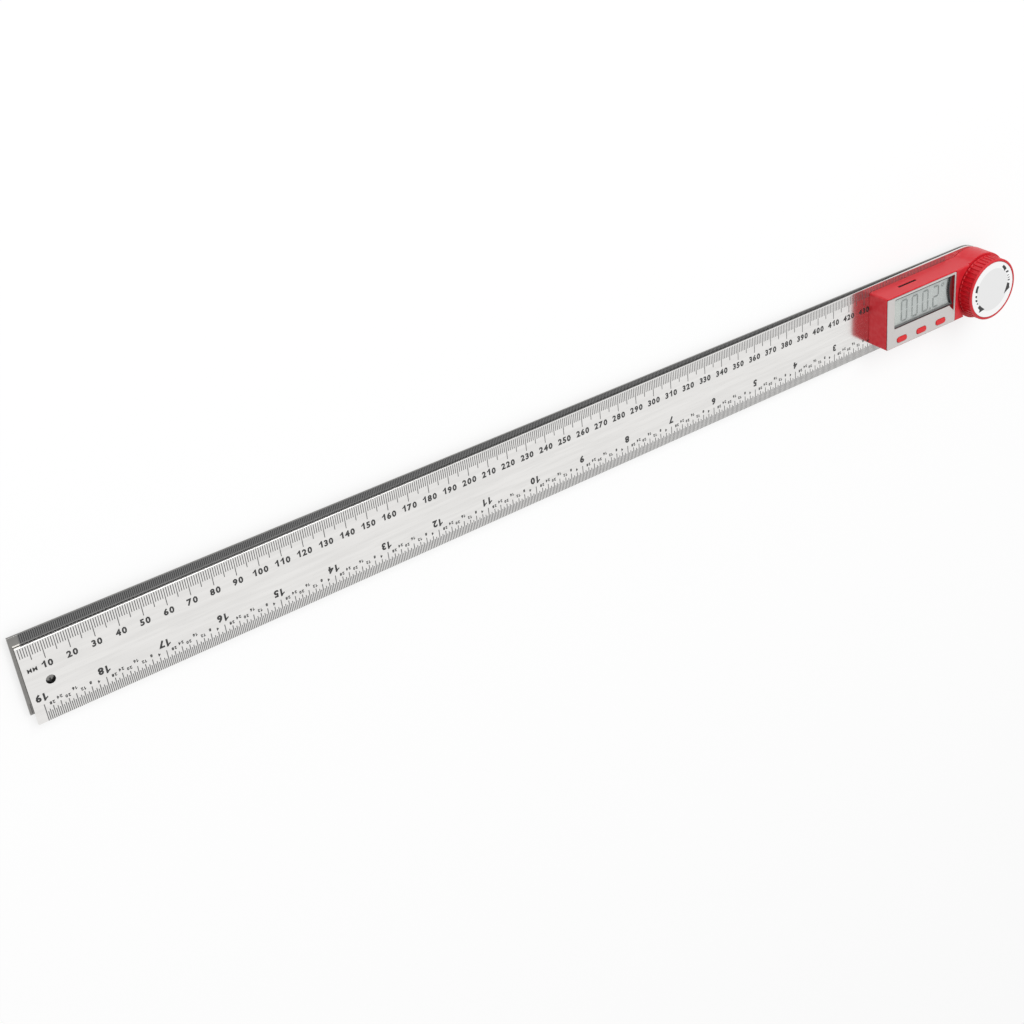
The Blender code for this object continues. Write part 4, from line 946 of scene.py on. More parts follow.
@dataclass
class SteelRule:
    """One steel rule: its blade, its two scales of marks and their numerals.

    Distances along the rule count from its tip, and distances across it from the edge that carries the scale.
    """

    node: str
    body: str
    millimetre_edge: Edge
    numeral_limit: int
    finish: SteelFinish
    print_thickness: float = 0.02 * MM
    edge_round: float = 0.08 * MM
    hole_from_tip: float = 9.5 * MM
    inch_zero: float = 486.82 * MM
    inches: int = 19
    numeral_line: float = 11.1 * MM
    numeral_height: float = 3.15 * MM
    inch_numeral_height: float = 3.55 * MM
    small_height: float = 1.5 * MM
    small_lines: dict[int, float] = field(
        default_factory=lambda: {
            16: 9.1 * MM,
            8: 8.3 * MM,
            24: 8.3 * MM,
            **dict.fromkeys((4, 12, 20, 28), 7.2 * MM),
        }
    )

    def __post_init__(self) -> None:
        """Reads the rule's reach, half width, turn and face from its solid's two tip corners."""
        points = [v.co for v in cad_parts[self.node].data.vertices]
        reach = max(p.xy.length for p in points)
        corners = [p for p in points if p.xy.length > reach - 0.1 * MM]
        upper = max(corners, key=lambda p: p.y).xy
        lower = min(corners, key=lambda p: p.y).xy
        middle = (upper + lower) / 2
        self.half_width = (upper - lower).length / 2
        self.reach = middle.length
        self.turn = math.atan2(-middle.y, -middle.x)
        self.face = max(p.z for p in points)
        self.placing = Matrix.Rotation(self.turn, 4, "Z")

    def build(self) -> None:
        """Makes the blade, the marks and the numerals."""
        blade = refined_copy(self.node, self.node + "_blade", self.finish, self.edge_round, 2)
        deliver(blade, self.body, [self.node])
        millimetres = ScaleMarks(
            first=1.0 * MM,
            step=1.0 * MM,
            start_number=1,
            count=self.numeral_limit,
            edge_gap=0.5 * MM,
            lengths=(4.5 * MM, 6.5 * MM, 8.15 * MM, 8.15 * MM, 8.15 * MM),
            every=(5, 10, 10, 10),
            width=0.34 * MM,
            ink=TICK_INK,
        )
        inches = ScaleMarks(
            first=self.inch_zero,
            step=-INCH / 32,
            start_number=0,
            count=self.inches * 32 + 1,
            edge_gap=0.1 * MM,
            lengths=(4.1 * MM, 4.9 * MM, 5.8 * MM, 6.5 * MM, 7.8 * MM),
            every=(2, 4, 8, 32),
            width=0.4 * MM,
            ink=INCH_TICK_INK,
        )
        other = Edge.LOWER if self.millimetre_edge is Edge.UPPER else Edge.UPPER
        self.build_marks("millimetre", millimetres, self.millimetre_edge)
        self.build_marks("inch", inches, other)
        self.build_millimetre_numerals()
        self.build_inch_numerals(other)

    def build_marks(self, scale: str, marks: ScaleMarks, edge: Edge) -> None:
        """Makes one scale's marks with the Geometry Nodes tree.

        Args:
            scale: The scale's name, for the piece's name.
            marks: Their sizes.
            edge: The edge that they start from.
        """
        name = f"{self.node}_{scale}_marks"
        obj = show_mesh(name, bpy.data.meshes.new(name))
        line = edge.value * (self.half_width - marks.edge_gap)
        second, third, fourth, fifth = marks.every
        values = {
            "Count": marks.count,
            "First Number": marks.start_number,
            "Start": (-self.reach + marks.first, line, self.face),
            "Step": (marks.step, 0.0, 0.0),
            "Side": float(edge.value),
            "Length": marks.lengths[0],
            "Second Every": second,
            "Second Length": marks.lengths[1],
            "Third Every": third,
            "Third Length": marks.lengths[2],
            "Fourth Every": fourth,
            "Fourth Length": marks.lengths[3],
            "Fifth Every": fifth,
            "Fifth Length": marks.lengths[4],
            "Width": marks.width,
            "Thickness": self.print_thickness,
            "Material": marks.ink.material(),
        }
        grown(obj, tick_tree(), values)
        obj.data.transform(self.placing)
        deliver(obj, self.body)

    def build_labels(
        self, name: str, book: GlyphBook, labels: Iterable[tuple[str, float, float]], edge: Edge
    ) -> None:
        """Makes one piece of many labels.

        Args:
            name: The piece's name.
            book: The glyphs to use.
            labels: Each label's text, its distance from the tip and from the edge.
            edge: The edge that the labels belong to.
        """
        points: list[Vector] = []
        faces: list[tuple[int, ...]] = []
        side = edge.value
        for text, along, across in labels:
            own, own_faces = book.label(text)
            start = len(points)
            x, y = -self.reach + along, side * (self.half_width - across)
            points += [
                Vector((x + side * p.x, y + side * p.y, self.face + p.z * self.print_thickness)) for p in own
            ]
            faces += [tuple(i + start for i in face) for face in own_faces]
        mesh = bpy.data.meshes.new(name)
        mesh.from_pydata(points, [], faces)
        mesh.transform(self.placing)
        mesh.update()
        deliver(show_mesh(name, mesh, NUMERAL_INK), self.body)

    def build_millimetre_numerals(self) -> None:
        """Makes the numerals at every tenth millimetre, and the unit's sign."""
        book = GlyphBook(self.numeral_height, 0.045, 0.4 * MM)
        labels = [(str(n), n * MM, self.numeral_line) for n in range(10, self.numeral_limit + 1, 10)]
        self.build_labels(f"{self.node}_millimetre_numerals", book, labels, self.millimetre_edge)
        small = GlyphBook(1.95 * MM, 0.03, 0.42 * MM)
        self.build_labels(
            f"{self.node}_unit", small, [("MM", 4.0 * MM, self.numeral_line + 0.2 * MM)], self.millimetre_edge
        )

    def build_inch_numerals(self, edge: Edge) -> None:
        """Makes the inch numerals and the small ones that count thirty-seconds between them."""
        book = GlyphBook(self.inch_numeral_height, 0.05, 0.4 * MM)
        last = self.inches
        first = 3 if self.millimetre_edge is Edge.UPPER else 1
        labels = [(str(n), self.inch_zero - n * INCH, self.numeral_line) for n in range(first, last + 1)]
        self.build_labels(f"{self.node}_inch_numerals", book, labels, edge)
        small = GlyphBook(self.small_height, 0.05, 0.2 * MM)
        parts = [
            (str(n), self.inch_zero - (inch + n / 32) * INCH, line)
            for inch in range(first - 1, last)
            for n, line in self.small_lines.items()
        ]
        self.build_labels(f"{self.node}_small_numerals", small, parts, edge)


@cache
def groove_tree() -> bpy.types.NodeTree:
    """Grooves round a turned grip: its outer wall drawn in at even turns between two heights."""
    number = SocketKind.NUMBER
    names = ("Grooves", "Depth", "Floor Share", "Mouth Share", "Low", "High", "Run-out", "Wall Radius")
    graph, source, result = new_tree(
        "grip_grooves",
        "GeometryNodeTree",
        {"Geometry": SocketKind.SHAPE, **dict.fromkeys(names, number), "Material": SocketKind.MATERIAL},
        {"Geometry": SocketKind.SHAPE},
    )
    given = source.outputs
    position = graph.add("GeometryNodeInputPosition").outputs[0]
    x, y, z = graph.split(position)
    turn = graph.math("DIVIDE", graph.math("ARCTAN2", y, x), 2 * math.pi)
    pitch = graph.math("FRACT", graph.math("ADD", graph.math("MULTIPLY", turn, given["Grooves"]), 0.5))
    from_middle = graph.math("ABSOLUTE", graph.math("SUBTRACT", pitch, 0.5))
    floor = graph.math("MULTIPLY", given["Floor Share"], 0.5)
    mouth = graph.math("MULTIPLY", given["Mouth Share"], 0.5)
    groove = graph.ramp(from_middle, floor, mouth, 1.0, 0.0)
    rise = graph.ramp(z, given["Low"], graph.math("ADD", given["Low"], given["Run-out"]))
    fall = graph.ramp(z, graph.math("SUBTRACT", given["High"], given["Run-out"]), given["High"], 1.0, 0.0)
    cut = graph.math("MULTIPLY", groove, given["Depth"])
    amount = graph.math("MULTIPLY", graph.math("MULTIPLY", rise, fall), cut)
    flat = graph.joined({0: x, 1: y})
    outward = graph.vector("NORMALIZE", flat)
    radius = graph.add("ShaderNodeVectorMath", {0: flat}, operation="LENGTH").outputs["Value"]
    on_wall = graph.math("GREATER_THAN", radius, given["Wall Radius"])
    offset = graph.add("ShaderNodeVectorMath", {0: outward}, operation="SCALE")
    graph.feed(offset.inputs["Scale"], graph.math("MULTIPLY", graph.math("MULTIPLY", amount, on_wall), -1.0))
    moved = graph.add("GeometryNodeSetPosition", {"Geometry": given["Geometry"], "Offset": offset.outputs[0]})
    real = graph.add("GeometryNodeRealizeInstances", {"Geometry": moved.outputs["Geometry"]})
    dressed = graph.add(
        "GeometryNodeSetMaterial", {"Geometry": real.outputs["Geometry"], "Material": given["Material"]}
    )
    graph.feed(result.inputs["Geometry"], dressed.outputs["Geometry"])
    return graph.tree


def turned_bmesh(profile: Sequence[Point], steps: int) -> bmesh.types.BMesh:
    """Turns a closed profile of (radius, height) points about Z.

    Args:
        profile: The points, counter-clockwise with the axis on their left. No radius closes on the axis.
        steps: How many steps make the turn.

    Returns:
        The closed body.
    """
    bm = bmesh.new()
    rings: list[list[bmesh.types.BMVert]] = []
    for radius, z in profile:
        if radius == 0.0:
            rings.append([bm.verts.new((0.0, 0.0, z))] * steps)
            continue
        turns = [2 * math.pi * i / steps for i in range(steps)]
        rings.append([bm.verts.new((radius * math.cos(t), radius * math.sin(t), z)) for t in turns])
    for lower, upper in zip(rings, rings[1:] + rings[:1], strict=True):
        if lower[0] is lower[1] and upper[0] is upper[1]:
            continue
        for i in range(steps):
            j = (i + 1) % steps
            corners = [lower[i], lower[j], upper[j], upper[i]]
            bm.faces.new(list(dict.fromkeys(corners)))
    for face in bm.faces:
        face.smooth = True
    return bm


def rounded(profile: Sequence[Point], radii: Sequence[float], steps: int = 4) -> list[Point]:
    """Rounds the corners of a profile.

    Args:
        profile: Its corners, in order round it.
        radii: How far from each corner its rounding starts, or nothing for a sharp one.
        steps: How many steps round a corner.

    Returns:
        The profile's points.
    """
    points: list[Point] = []
    count = len(profile)
    for i, (corner, radius) in enumerate(zip(profile, radii, strict=True)):
        if radius == 0.0:
            points.append(corner)
            continue
        here = Vector(corner)
        before = (Vector(profile[i - 1]) - here).normalized() * radius
        after = (Vector(profile[(i + 1) % count]) - here).normalized() * radius
        for step in range(steps + 1):
            t = step / steps
            place = here + before * (1 - t) ** 2 + after * t**2
            points.append((place.x, place.y))
    return points


def sharpen(obj: bpy.types.Object) -> bpy.types.Object:
    """Shades a mesh smooth but for its sharp edges, with its large faces leading."""
    obj.data.shade_smooth()
    obj.data.set_sharp_from_angle(angle=SHADED_SHARP_ANGLE)
    weighted = obj.modifiers.new("normals", "WEIGHTED_NORMAL")
    weighted.keep_sharp = True
    return settle(obj)


def slab(bm: bmesh.types.BMesh, outline: Sequence[Point], bottom: float, top: float) -> None:
    """Adds a straight body on a counter-clockwise outline to a bmesh."""
    low, high = ([bm.verts.new((x, y, z)) for x, y in outline] for z in (bottom, top))
    count = len(outline)
    for i in range(count):
        j = (i + 1) % count
        bm.faces.new((low[i], low[j], high[j], high[i]))
    bm.faces.new(list(reversed(low)))
    bm.faces.new(high)


def ring_sector(inner: float, outer: float, start: float, end: float) -> list[Point]:
    """The outline of a piece of a ring between two angles in degrees, counter-clockwise."""
    steps = max(2, round(abs(end - start) / 3.0))
    low, high = sorted((math.radians(start), math.radians(end)))
    turns = [low + (high - low) * i / steps for i in range(steps + 1)]
    out = [(outer * math.cos(t), outer * math.sin(t)) for t in turns]
    back = [(inner * math.cos(t), inner * math.sin(t)) for t in reversed(turns)]
    return out + back


# The two arrows on the knob's disc: each mark's corners as radii in millimetres and turns in degrees
ARROW_OUTLINES: tuple[tuple[Point, ...], ...] = (
    ((11.1, 153), (12.5, 153), (12.7, 161), (12.6, 169), (11.0, 172), (11.1, 162)),
    ((10.9, 179), (12.1, 177), (12.2, 182), (11.3, 185)),
    ((10.8, 191), (12.1, 188), (12.2, 193), (11.2, 197)),
    ((10.9, 201), (11.7, 200), (11.7, 204), (10.9, 205)),
    ((10.4, 213), (12.0, 213), (12.0, 224), (13.3, 227), (10.3, 241), (10.2, 227)),
    ((10.9, 43), (12.7, 42), (13.0, 49), (13.2, 57), (12.0, 60), (11.5, 51)),
    ((11.3, 32), (12.8, 29), (12.8, 34), (11.3, 38)),
    ((11.1, 22), (12.3, 20), (12.3, 22), (11.1, 24)),
    ((11.1, 14), (12.4, 13), (12.4, 15), (11.1, 16)),
    ((11.0, 7), (12.3, 5), (12.3, 9), (11.0, 10)),
    ((10.1, 350), (10.0, 329), (12.9, 347), (12.3, 350), (12.2, 358), (10.6, 2)),
)


@dataclass
class LockKnob:
    """The locking knob: a grooved red grip and a white disc with two turning arrows."""

    body: str = "knob"
    steps_per_groove: int = 16
    grooves: int = 42
    groove_depth: float = 0.5 * MM
    floor_share: float = 0.5
    mouth_share: float = 0.75
    plain_base: float = 0.3 * MM
    groove_runout: float = 0.3 * MM
    rim_round: float = 0.8 * MM
    recess_wall: float = 1.2 * MM
    cavity_wall: float = 1.9 * MM
    nut_gap: float = 0.2 * MM
    boss_wall: float = 1.5 * MM
    disc_edge_round: float = 0.12 * MM
    mark_thickness: float = 0.03 * MM

    def __post_init__(self) -> None:
        """Reads the places of the knob, its nut and its disc from their solids."""
        low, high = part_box("lock_knob")
        self.bottom, self.top = low.z, high.z
        self.radius = max(v.co.xy.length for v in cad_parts["lock_knob"].data.vertices)
        disc_low, disc_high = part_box("knob_disc")
        self.disc_radius, self.disc_bottom, self.disc_top = disc_high.x, disc_low.z, disc_high.z
        nut_low, nut_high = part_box("knob_nut")
        self.nut_radius, self.nut_bottom, self.nut_top = nut_high.x, nut_low.z, nut_high.z

    def build(self) -> None:
        """Makes the grip, the disc and its marks."""
        self.build_grip()
        self.build_disc()
        self.build_marks()

    def build_grip(self) -> None:
        """Turns the grip's profile and draws its grooves in with the Geometry Nodes tree."""
        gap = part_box("knob_disc")[0].z - 0.3 * MM
        recess = self.radius - self.recess_wall
        bore = self.nut_radius + self.nut_gap
        boss = bore + self.boss_wall
        cavity = self.radius - self.cavity_wall
        ceiling = gap - self.cavity_wall
        nut_ceiling = self.nut_top + 0.3 * MM
        corners: list[Point] = [
            (cavity, self.bottom),
            (self.radius, self.bottom),
            (self.radius, self.top),
            (recess, self.top),
            (recess, gap),
            (0.0, gap),
            (0.0, nut_ceiling),
            (bore, nut_ceiling),
            (bore, self.nut_bottom - 0.3 * MM),
            (boss, self.nut_bottom - 0.3 * MM),
            (boss, ceiling),
            (cavity, ceiling),
        ]
        radii = [0.0, 0.15 * MM, self.rim_round, 0.12 * MM] + [0.0] * 8
        profile = self.divided(rounded(corners, radii, 5))
        obj = show_bmesh("lock_knob_grip", turned_bmesh(profile, self.grooves * self.steps_per_groove), RED)
        values = {
            "Grooves": float(self.grooves),
            "Depth": self.groove_depth,
            "Floor Share": self.floor_share,
            "Mouth Share": self.mouth_share,
            "Low": self.bottom + self.plain_base,
            "High": self.top - self.rim_round,
            "Run-out": self.groove_runout,
            "Wall Radius": self.radius - self.rim_round * 0.5,
            "Material": RED.material(),
        }
        grown(obj, groove_tree(), values)
        deliver(sharpen(obj), self.body, ["lock_knob"])

    def divided(self, profile: Sequence[Point]) -> list[Point]:
        """Adds points to the tall outer wall where the grooves start and end."""
        wall = self.radius - 0.001 * MM
        low, high = self.bottom + self.plain_base, self.top - self.rim_round
        runout = self.groove_runout
        shares = (0.0, 0.33, 0.67, 1.0)
        heights = [start + runout * share for start in (low, high - runout) for share in shares]
        points: list[Point] = []
        for here, after in zip(profile, [*profile[1:], profile[0]], strict=True):
            points.append(here)
            if here[0] > wall and after[0] > wall and after[1] - here[1] > self.plain_base:
                points += [(here[0], z) for z in heights if here[1] < z < after[1]]
        return points

    def build_disc(self) -> None:
        """Turns the disc with a softened rim."""
        corners = [
            (0.0, self.disc_bottom),
            (self.disc_radius, self.disc_bottom),
            (self.disc_radius, self.disc_top),
            (0.0, self.disc_top),
        ]
        profile = rounded(corners, [0.0, 0.0, self.disc_edge_round, 0.0])
        obj = show_bmesh("knob_disc_face", turned_bmesh(profile, 96), DIAL)
        deliver(sharpen(obj), self.body, ["knob_disc"])

    def build_marks(self) -> None:
        """Makes the two arrows: a bar, short dashes and a head, one each way round."""
        bm = bmesh.new()
        for outline in ARROW_OUTLINES:
            polar = [(r * MM, math.radians(turn)) for r, turn in outline]
            corners = [(r * math.cos(turn), r * math.sin(turn)) for r, turn in polar]
            slab(bm, corners, self.disc_top, self.disc_top + self.mark_thickness)
        deliver(show_bmesh("knob_disc_marks", bm, DISC_INK), self.body)


SEGMENTS: dict[str, str] = {"0": "abcdef", "2": "abged"}


@dataclass
class DisplayHead:
    """The display head: its shell, silver plate, buttons, display and window."""

    body: str = "head"
    edge_round: float = 0.22 * MM
    outer_band: float = 0.65 * MM
    upper_side: float = 15.0 * MM
    lower_side: float = -12.7 * MM
    round_radius: float = 17.0 * MM
    hollow_radius: float = 18.0 * MM
    round_top: float = 16.0 * MM
    seal_gap: float = 0.01 * MM
    pocket_depth: float = 1.2 * MM
    pocket_right: float = -20.65 * MM
    pocket_split: float = -2.72 * MM
    pocket_upper: float = 13.2 * MM
    display_end: tuple[float, float, float] = (-6.5 * MM, 6.2 * MM, 16.85 * MM)
    recess_end: tuple[float, float, float] = (-9.0 * MM, 7.7 * MM, 17.95 * MM)
    margin_width: float = 4.9 * MM
    port_x: Point = (-52.38 * MM, -40.52 * MM)
    port_z: Point = (9.82 * MM, 11.38 * MM)
    port_y: Point = (13.55 * MM, 14.75 * MM)
    liner_wall: float = 0.12 * MM
    seal_line: float = -1.99 * MM
    seal_width: float = 0.3 * MM
    digits: str = "0002"
    digit_left: float = -55.6 * MM
    digit_bottom: float = -1.0 * MM
    digit_width: float = 4.4 * MM
    digit_height: float = 11.6 * MM
    digit_pitch: float = 7.2 * MM
    stroke: float = 0.85 * MM
    joint_gap: float = 0.1 * MM
    point_size: float = 0.9 * MM
    degree_radius: float = 1.0 * MM
    degree_stroke: float = 0.45 * MM
    degree_back: float = 0.4 * MM
    shade_offset: float = 0.3 * MM
    ink_thickness: float = 0.015 * MM

    def build(self) -> None:
        """Makes the head's visible pieces."""
        self.build_housing()
        self.build_surround()
        pieces = (
            ("face_plate", "face_plate_sheet", SILVER, "silver_plate"),
            ("display_glass", "display_panel", LCD, "display_glass"),
            ("display_window", "display_cover", WINDOW, "clear_window"),
        )
        for node, name, finish, slot in pieces:
            deliver(merged_copy(node, name, finish), self.body, [node])
        for side in ("left", "middle", "right"):
            node = f"button_{side}"
            deliver(refined_copy(node, f"{node}_cap", BUTTON_RED, 0.2 * MM), node, [node])
        self.build_port_liner()
        self.build_pocket_floor()
        low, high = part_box("display_glass")
        self.build_seal(high.z)
        self.build_margin(low, high)
        shade = Vector((-self.shade_offset, -self.shade_offset, 0.0))
        self.build_reading("display_reading_shade", SHADE_INK, high.z, shade)
        self.build_reading("display_reading", SEGMENT_INK, high.z + self.ink_thickness, Vector())

    def build_housing(self) -> None:
        """Makes the red shell, its skirt drawn down to the rule's face."""
        low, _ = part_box("head_shell")
        reach = self.outer_band

        def outside(middle: Vector) -> bool:
            """Whether an edge lies on the housing's outer walls or its end's hollow."""
            to_axis = middle.xy.length
            beside = middle.y < self.lower_side + reach or middle.y > self.upper_side - reach
            boxed = middle.x < low.x + reach or beside
            on_end = abs(to_axis - self.hollow_radius) < reach and middle.z > self.round_top - reach
            on_round = to_axis < self.round_radius + reach
            return to_axis > self.round_radius - reach and (boxed or on_end or on_round)

        obj = refined_copy("head_shell", "head_housing", RED, self.edge_round, 3, outside)
        bottom = low.z
        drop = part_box("front_rule")[1].z + self.seal_gap - bottom
        for vertex in obj.data.vertices:
            if vertex.co.z < bottom + 1.05 * self.edge_round:
                vertex.co.z += drop
        deliver(obj, self.body, ["head_shell"])

    def build_surround(self) -> None:
        """Makes the display's dark surround, its walls drawn up to the underside of the plate, where they
        cover the pocket's walls with painted shade.
        """
        obj = merged_copy("display_frame", "display_surround", FRAME_BLACK)
        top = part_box("display_frame")[1].z
        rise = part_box("face_plate")[0].z - self.seal_gap - top
        for vertex in obj.data.vertices:
            if vertex.co.z > top - self.seal_gap:
                vertex.co.z += rise
        deliver(obj, self.body, ["display_frame"])

    def build_port_liner(self) -> None:
        """Lines the data port's slot with a thin dark sleeve of painted shade."""
        (left, right), (low, high), (inner, outer) = self.port_x, self.port_z, self.port_y
        thin = self.liner_wall
        bm = bmesh.new()
        rings = []
        for inset, y in ((0.0, inner), (0.0, outer), (thin, outer), (thin, inner)):
            x0, x1, z0, z1 = left + inset, right - inset, low + inset, high - inset
            rings.append([bm.verts.new((x, y, z)) for x, z in ((x0, z0), (x1, z0), (x1, z1), (x0, z1))])
        for here, after in zip(rings, rings[1:] + rings[:1], strict=True):
            for i in range(4):
                bm.faces.new((here[i], here[i - 1], after[i - 1], after[i]))
        bmesh.ops.recalc_face_normals(bm, faces=bm.faces)
        deliver(show_bmesh("port_liner", bm, FRAME_BLACK), self.body)

    def build_seal(self, level: float) -> None:
        """Lays a grey strip of painted shade on the pocket's lower wall along the display's lower edge, from
        the glass up to the plate.
        """
        low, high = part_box("display_glass")
        bm = bmesh.new()
        left, right = low.x + self.seal_gap, high.x
        front, back = self.seal_line, self.seal_line + self.seal_width
        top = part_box("face_plate")[0].z - self.seal_gap
        slab(bm, [(left, front), (right, front), (right, back), (left, back)], level + self.seal_gap, top)
        deliver(show_bmesh("display_shade_strip", bm, SHADE_STRIP_GREY), self.body)

    @staticmethod
    def hollow_arc(
        end: tuple[float, float, float], upper: float, lower: float, steps: int = 12
    ) -> list[Point]:
        """Points down the left side of a circle from one height to another.

        Args:
            end: The circle's centre and radius.
            upper: The height of the first point.
            lower: The height of the last one.
            steps: How many steps lie between them.

        Returns:
            The points.
        """
        x, y, radius = end
        heights = [upper + (lower - upper) * i / steps for i in range(steps + 1)]
        return [(x - math.sqrt(radius**2 - (height - y) ** 2), height) for height in heights]

    def build_pocket_floor(self) -> None:
        """Lays a dark red film of painted shade on the pocket's floor beside the display and in the recess
        below it.
        """
        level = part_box("face_plate")[1].z - self.pocket_depth
        right, split = self.pocket_right, self.pocket_split
        x, y, radius = self.recess_end
        lowest = y - math.sqrt(radius**2 - (right - x) ** 2)
        bm = bmesh.new()
        beside = [(right, split), (right, self.pocket_upper)]
        beside += self.hollow_arc(self.display_end, self.pocket_upper, split)
        below = [*self.hollow_arc(self.recess_end, split, lowest), (right, split)]
        for outline in (beside, below):
            slab(bm, outline, level, level + self.ink_thickness)
        deliver(show_bmesh("pocket_floor", bm, POCKET_SHADE_RED), self.body)

    def build_margin(self, low: Vector, high: Vector) -> None:
        """Lays the display's paler margin to the left of its digits."""
        bm = bmesh.new()
        left, right = low.x + self.seal_gap, low.x + self.margin_width
        lower, upper = low.y + self.seal_gap, high.y - self.seal_gap
        slab(
            bm,
            [(left, lower), (right, lower), (right, upper), (left, upper)],
            high.z,
            high.z + self.ink_thickness,
        )
        deliver(show_bmesh("display_margin", bm, LCD_MARGIN), self.body)

    def build_reading(self, name: str, finish: Finish, level: float, shift: Vector) -> None:
        """Makes the reading's segments as one piece.

        Args:
            name: The piece's name.
            finish: Its ink.
            level: The height that it lies on.
            shift: How far it is moved aside.
        """
        bm = bmesh.new()
        outlines: list[list[Point]] = []
        for i, digit in enumerate(self.digits):
            left = self.digit_left + i * self.digit_pitch
            outlines += [self.segment(letter, left) for letter in SEGMENTS[digit]]
        size = self.point_size
        between = (self.digit_pitch - self.digit_width) / 2
        start = self.digit_left + 3 * self.digit_pitch - between - size / 2
        end, low, high = start + size, self.digit_bottom, self.digit_bottom + size
        outlines.append([(start, low), (end, low), (end, high), (start, high)])
        for outline in outlines:
            slab(bm, [(x + shift.x, y + shift.y) for x, y in outline], level, level + self.ink_thickness)
        self.add_degree_ring(bm, level, shift)
        deliver(show_bmesh(name, bm, finish), self.body)

    def segment(self, letter: str, left: float) -> list[Point]:
        """The outline of one of a digit's seven segments, named a to g as on any such display."""
        w, h, s, g = self.digit_width, self.digit_height, self.stroke, self.joint_gap
        bottom, half = self.digit_bottom, self.digit_height / 2
        if letter in "adg":
            y = {"a": h - s / 2, "g": half, "d": s / 2}[letter] + bottom
            x0, x1 = left + s / 2 + g, left + w - s / 2 - g
            inner = s / 2
            points = [
                (x0, y),
                (x0 + inner, y - inner),
                (x1 - inner, y - inner),
                (x1, y),
                (x1 - inner, y + inner),
                (x0 + inner, y + inner),
            ]
            return points
        x = left + (s / 2 if letter in "ef" else w - s / 2)
        y0, y1 = (half, h - s / 2) if letter in "bf" else (s / 2, half)
        y0, y1, inner = y0 + bottom + g, y1 + bottom - g, s / 2
        return [
            (x, y0),
            (x + inner, y0 + inner),
            (x + inner, y1 - inner),
            (x, y1),
            (x - inner, y1 - inner),
            (x - inner, y0 + inner),
        ]

    def add_degree_ring(self, bm: bmesh.types.BMesh, level: float, shift: Vector) -> None:
        """Adds the degree sign as a small ring of slabs."""
        outer, inner = self.degree_radius, self.degree_radius - self.degree_stroke
        x = self.digit_left + 4 * self.digit_pitch + shift.x - self.degree_back
        y = self.digit_bottom + self.digit_height - outer + shift.y
        for start in range(0, 360, 60):
            outline = [(x + px, y + py) for px, py in ring_sector(inner, outer, start, start + 58.0)]
            slab(bm, outline, level, level + self.ink_thickness)


@cache
def screw_tree() -> bpy.types.NodeTree:
    """Countersunk screws on given points: a cone head with a cross recess, and a shank."""
    number = SocketKind.NUMBER
    graph, source, result = new_tree(
        "countersunk_screws",
        "GeometryNodeTree",
        {
            "Geometry": SocketKind.SHAPE,
            "Head Radius": number,
            "Head Height": number,
            "Shank Radius": number,
            "Length": number,
            "Recess Width": number,
            "Recess Depth": number,
            "Material": SocketKind.MATERIAL,
        },
        {"Geometry": SocketKind.SHAPE},
    )
    given = source.outputs
    head = graph.add(
        "GeometryNodeMeshCone",
        {
            "Vertices": 32,
            "Radius Top": given["Shank Radius"],
            "Radius Bottom": given["Head Radius"],
            "Depth": given["Head Height"],
        },
    ).outputs["Mesh"]
    shank = graph.add(
        "GeometryNodeMeshCylinder",
        {"Vertices": 32, "Radius": given["Shank Radius"], "Depth": given["Length"]},
    ).outputs["Mesh"]
    lift = graph.joined({2: graph.math("MULTIPLY", given["Length"], 0.5)})
    raised = graph.add("GeometryNodeTransform", {"Geometry": shank, "Translation": lift}).outputs[0]
    union = graph.add("GeometryNodeMeshBoolean", operation="UNION", solver="EXACT")
    for part in (head, raised):
        graph.tree.links.new(part, union.inputs["Mesh 2"])
    deep = graph.math("MULTIPLY", given["Recess Depth"], 2.0)
    wide = graph.math("MULTIPLY", given["Head Radius"], 1.15)
    cut = graph.add(
        "GeometryNodeMeshBoolean", {"Mesh 1": union.outputs["Mesh"]}, operation="DIFFERENCE", solver="EXACT"
    )
    for sides in ((wide, given["Recess Width"]), (given["Recess Width"], wide)):
        size = graph.joined({0: sides[0], 1: sides[1], 2: deep})
        bar = graph.add("GeometryNodeMeshCube", {"Size": size}).outputs["Mesh"]
        graph.tree.links.new(bar, cut.inputs["Mesh 2"])
    placed = graph.add(
        "GeometryNodeInstanceOnPoints", {"Points": given["Geometry"], "Instance": cut.outputs["Mesh"]}
    )
    real = graph.add("GeometryNodeRealizeInstances", {"Geometry": placed.outputs["Instances"]})
    dressed = graph.add(
        "GeometryNodeSetMaterial", {"Geometry": real.outputs["Geometry"], "Material": given["Material"]}
    )
    graph.feed(result.inputs["Geometry"], dressed.outputs["Geometry"])
    return graph.tree


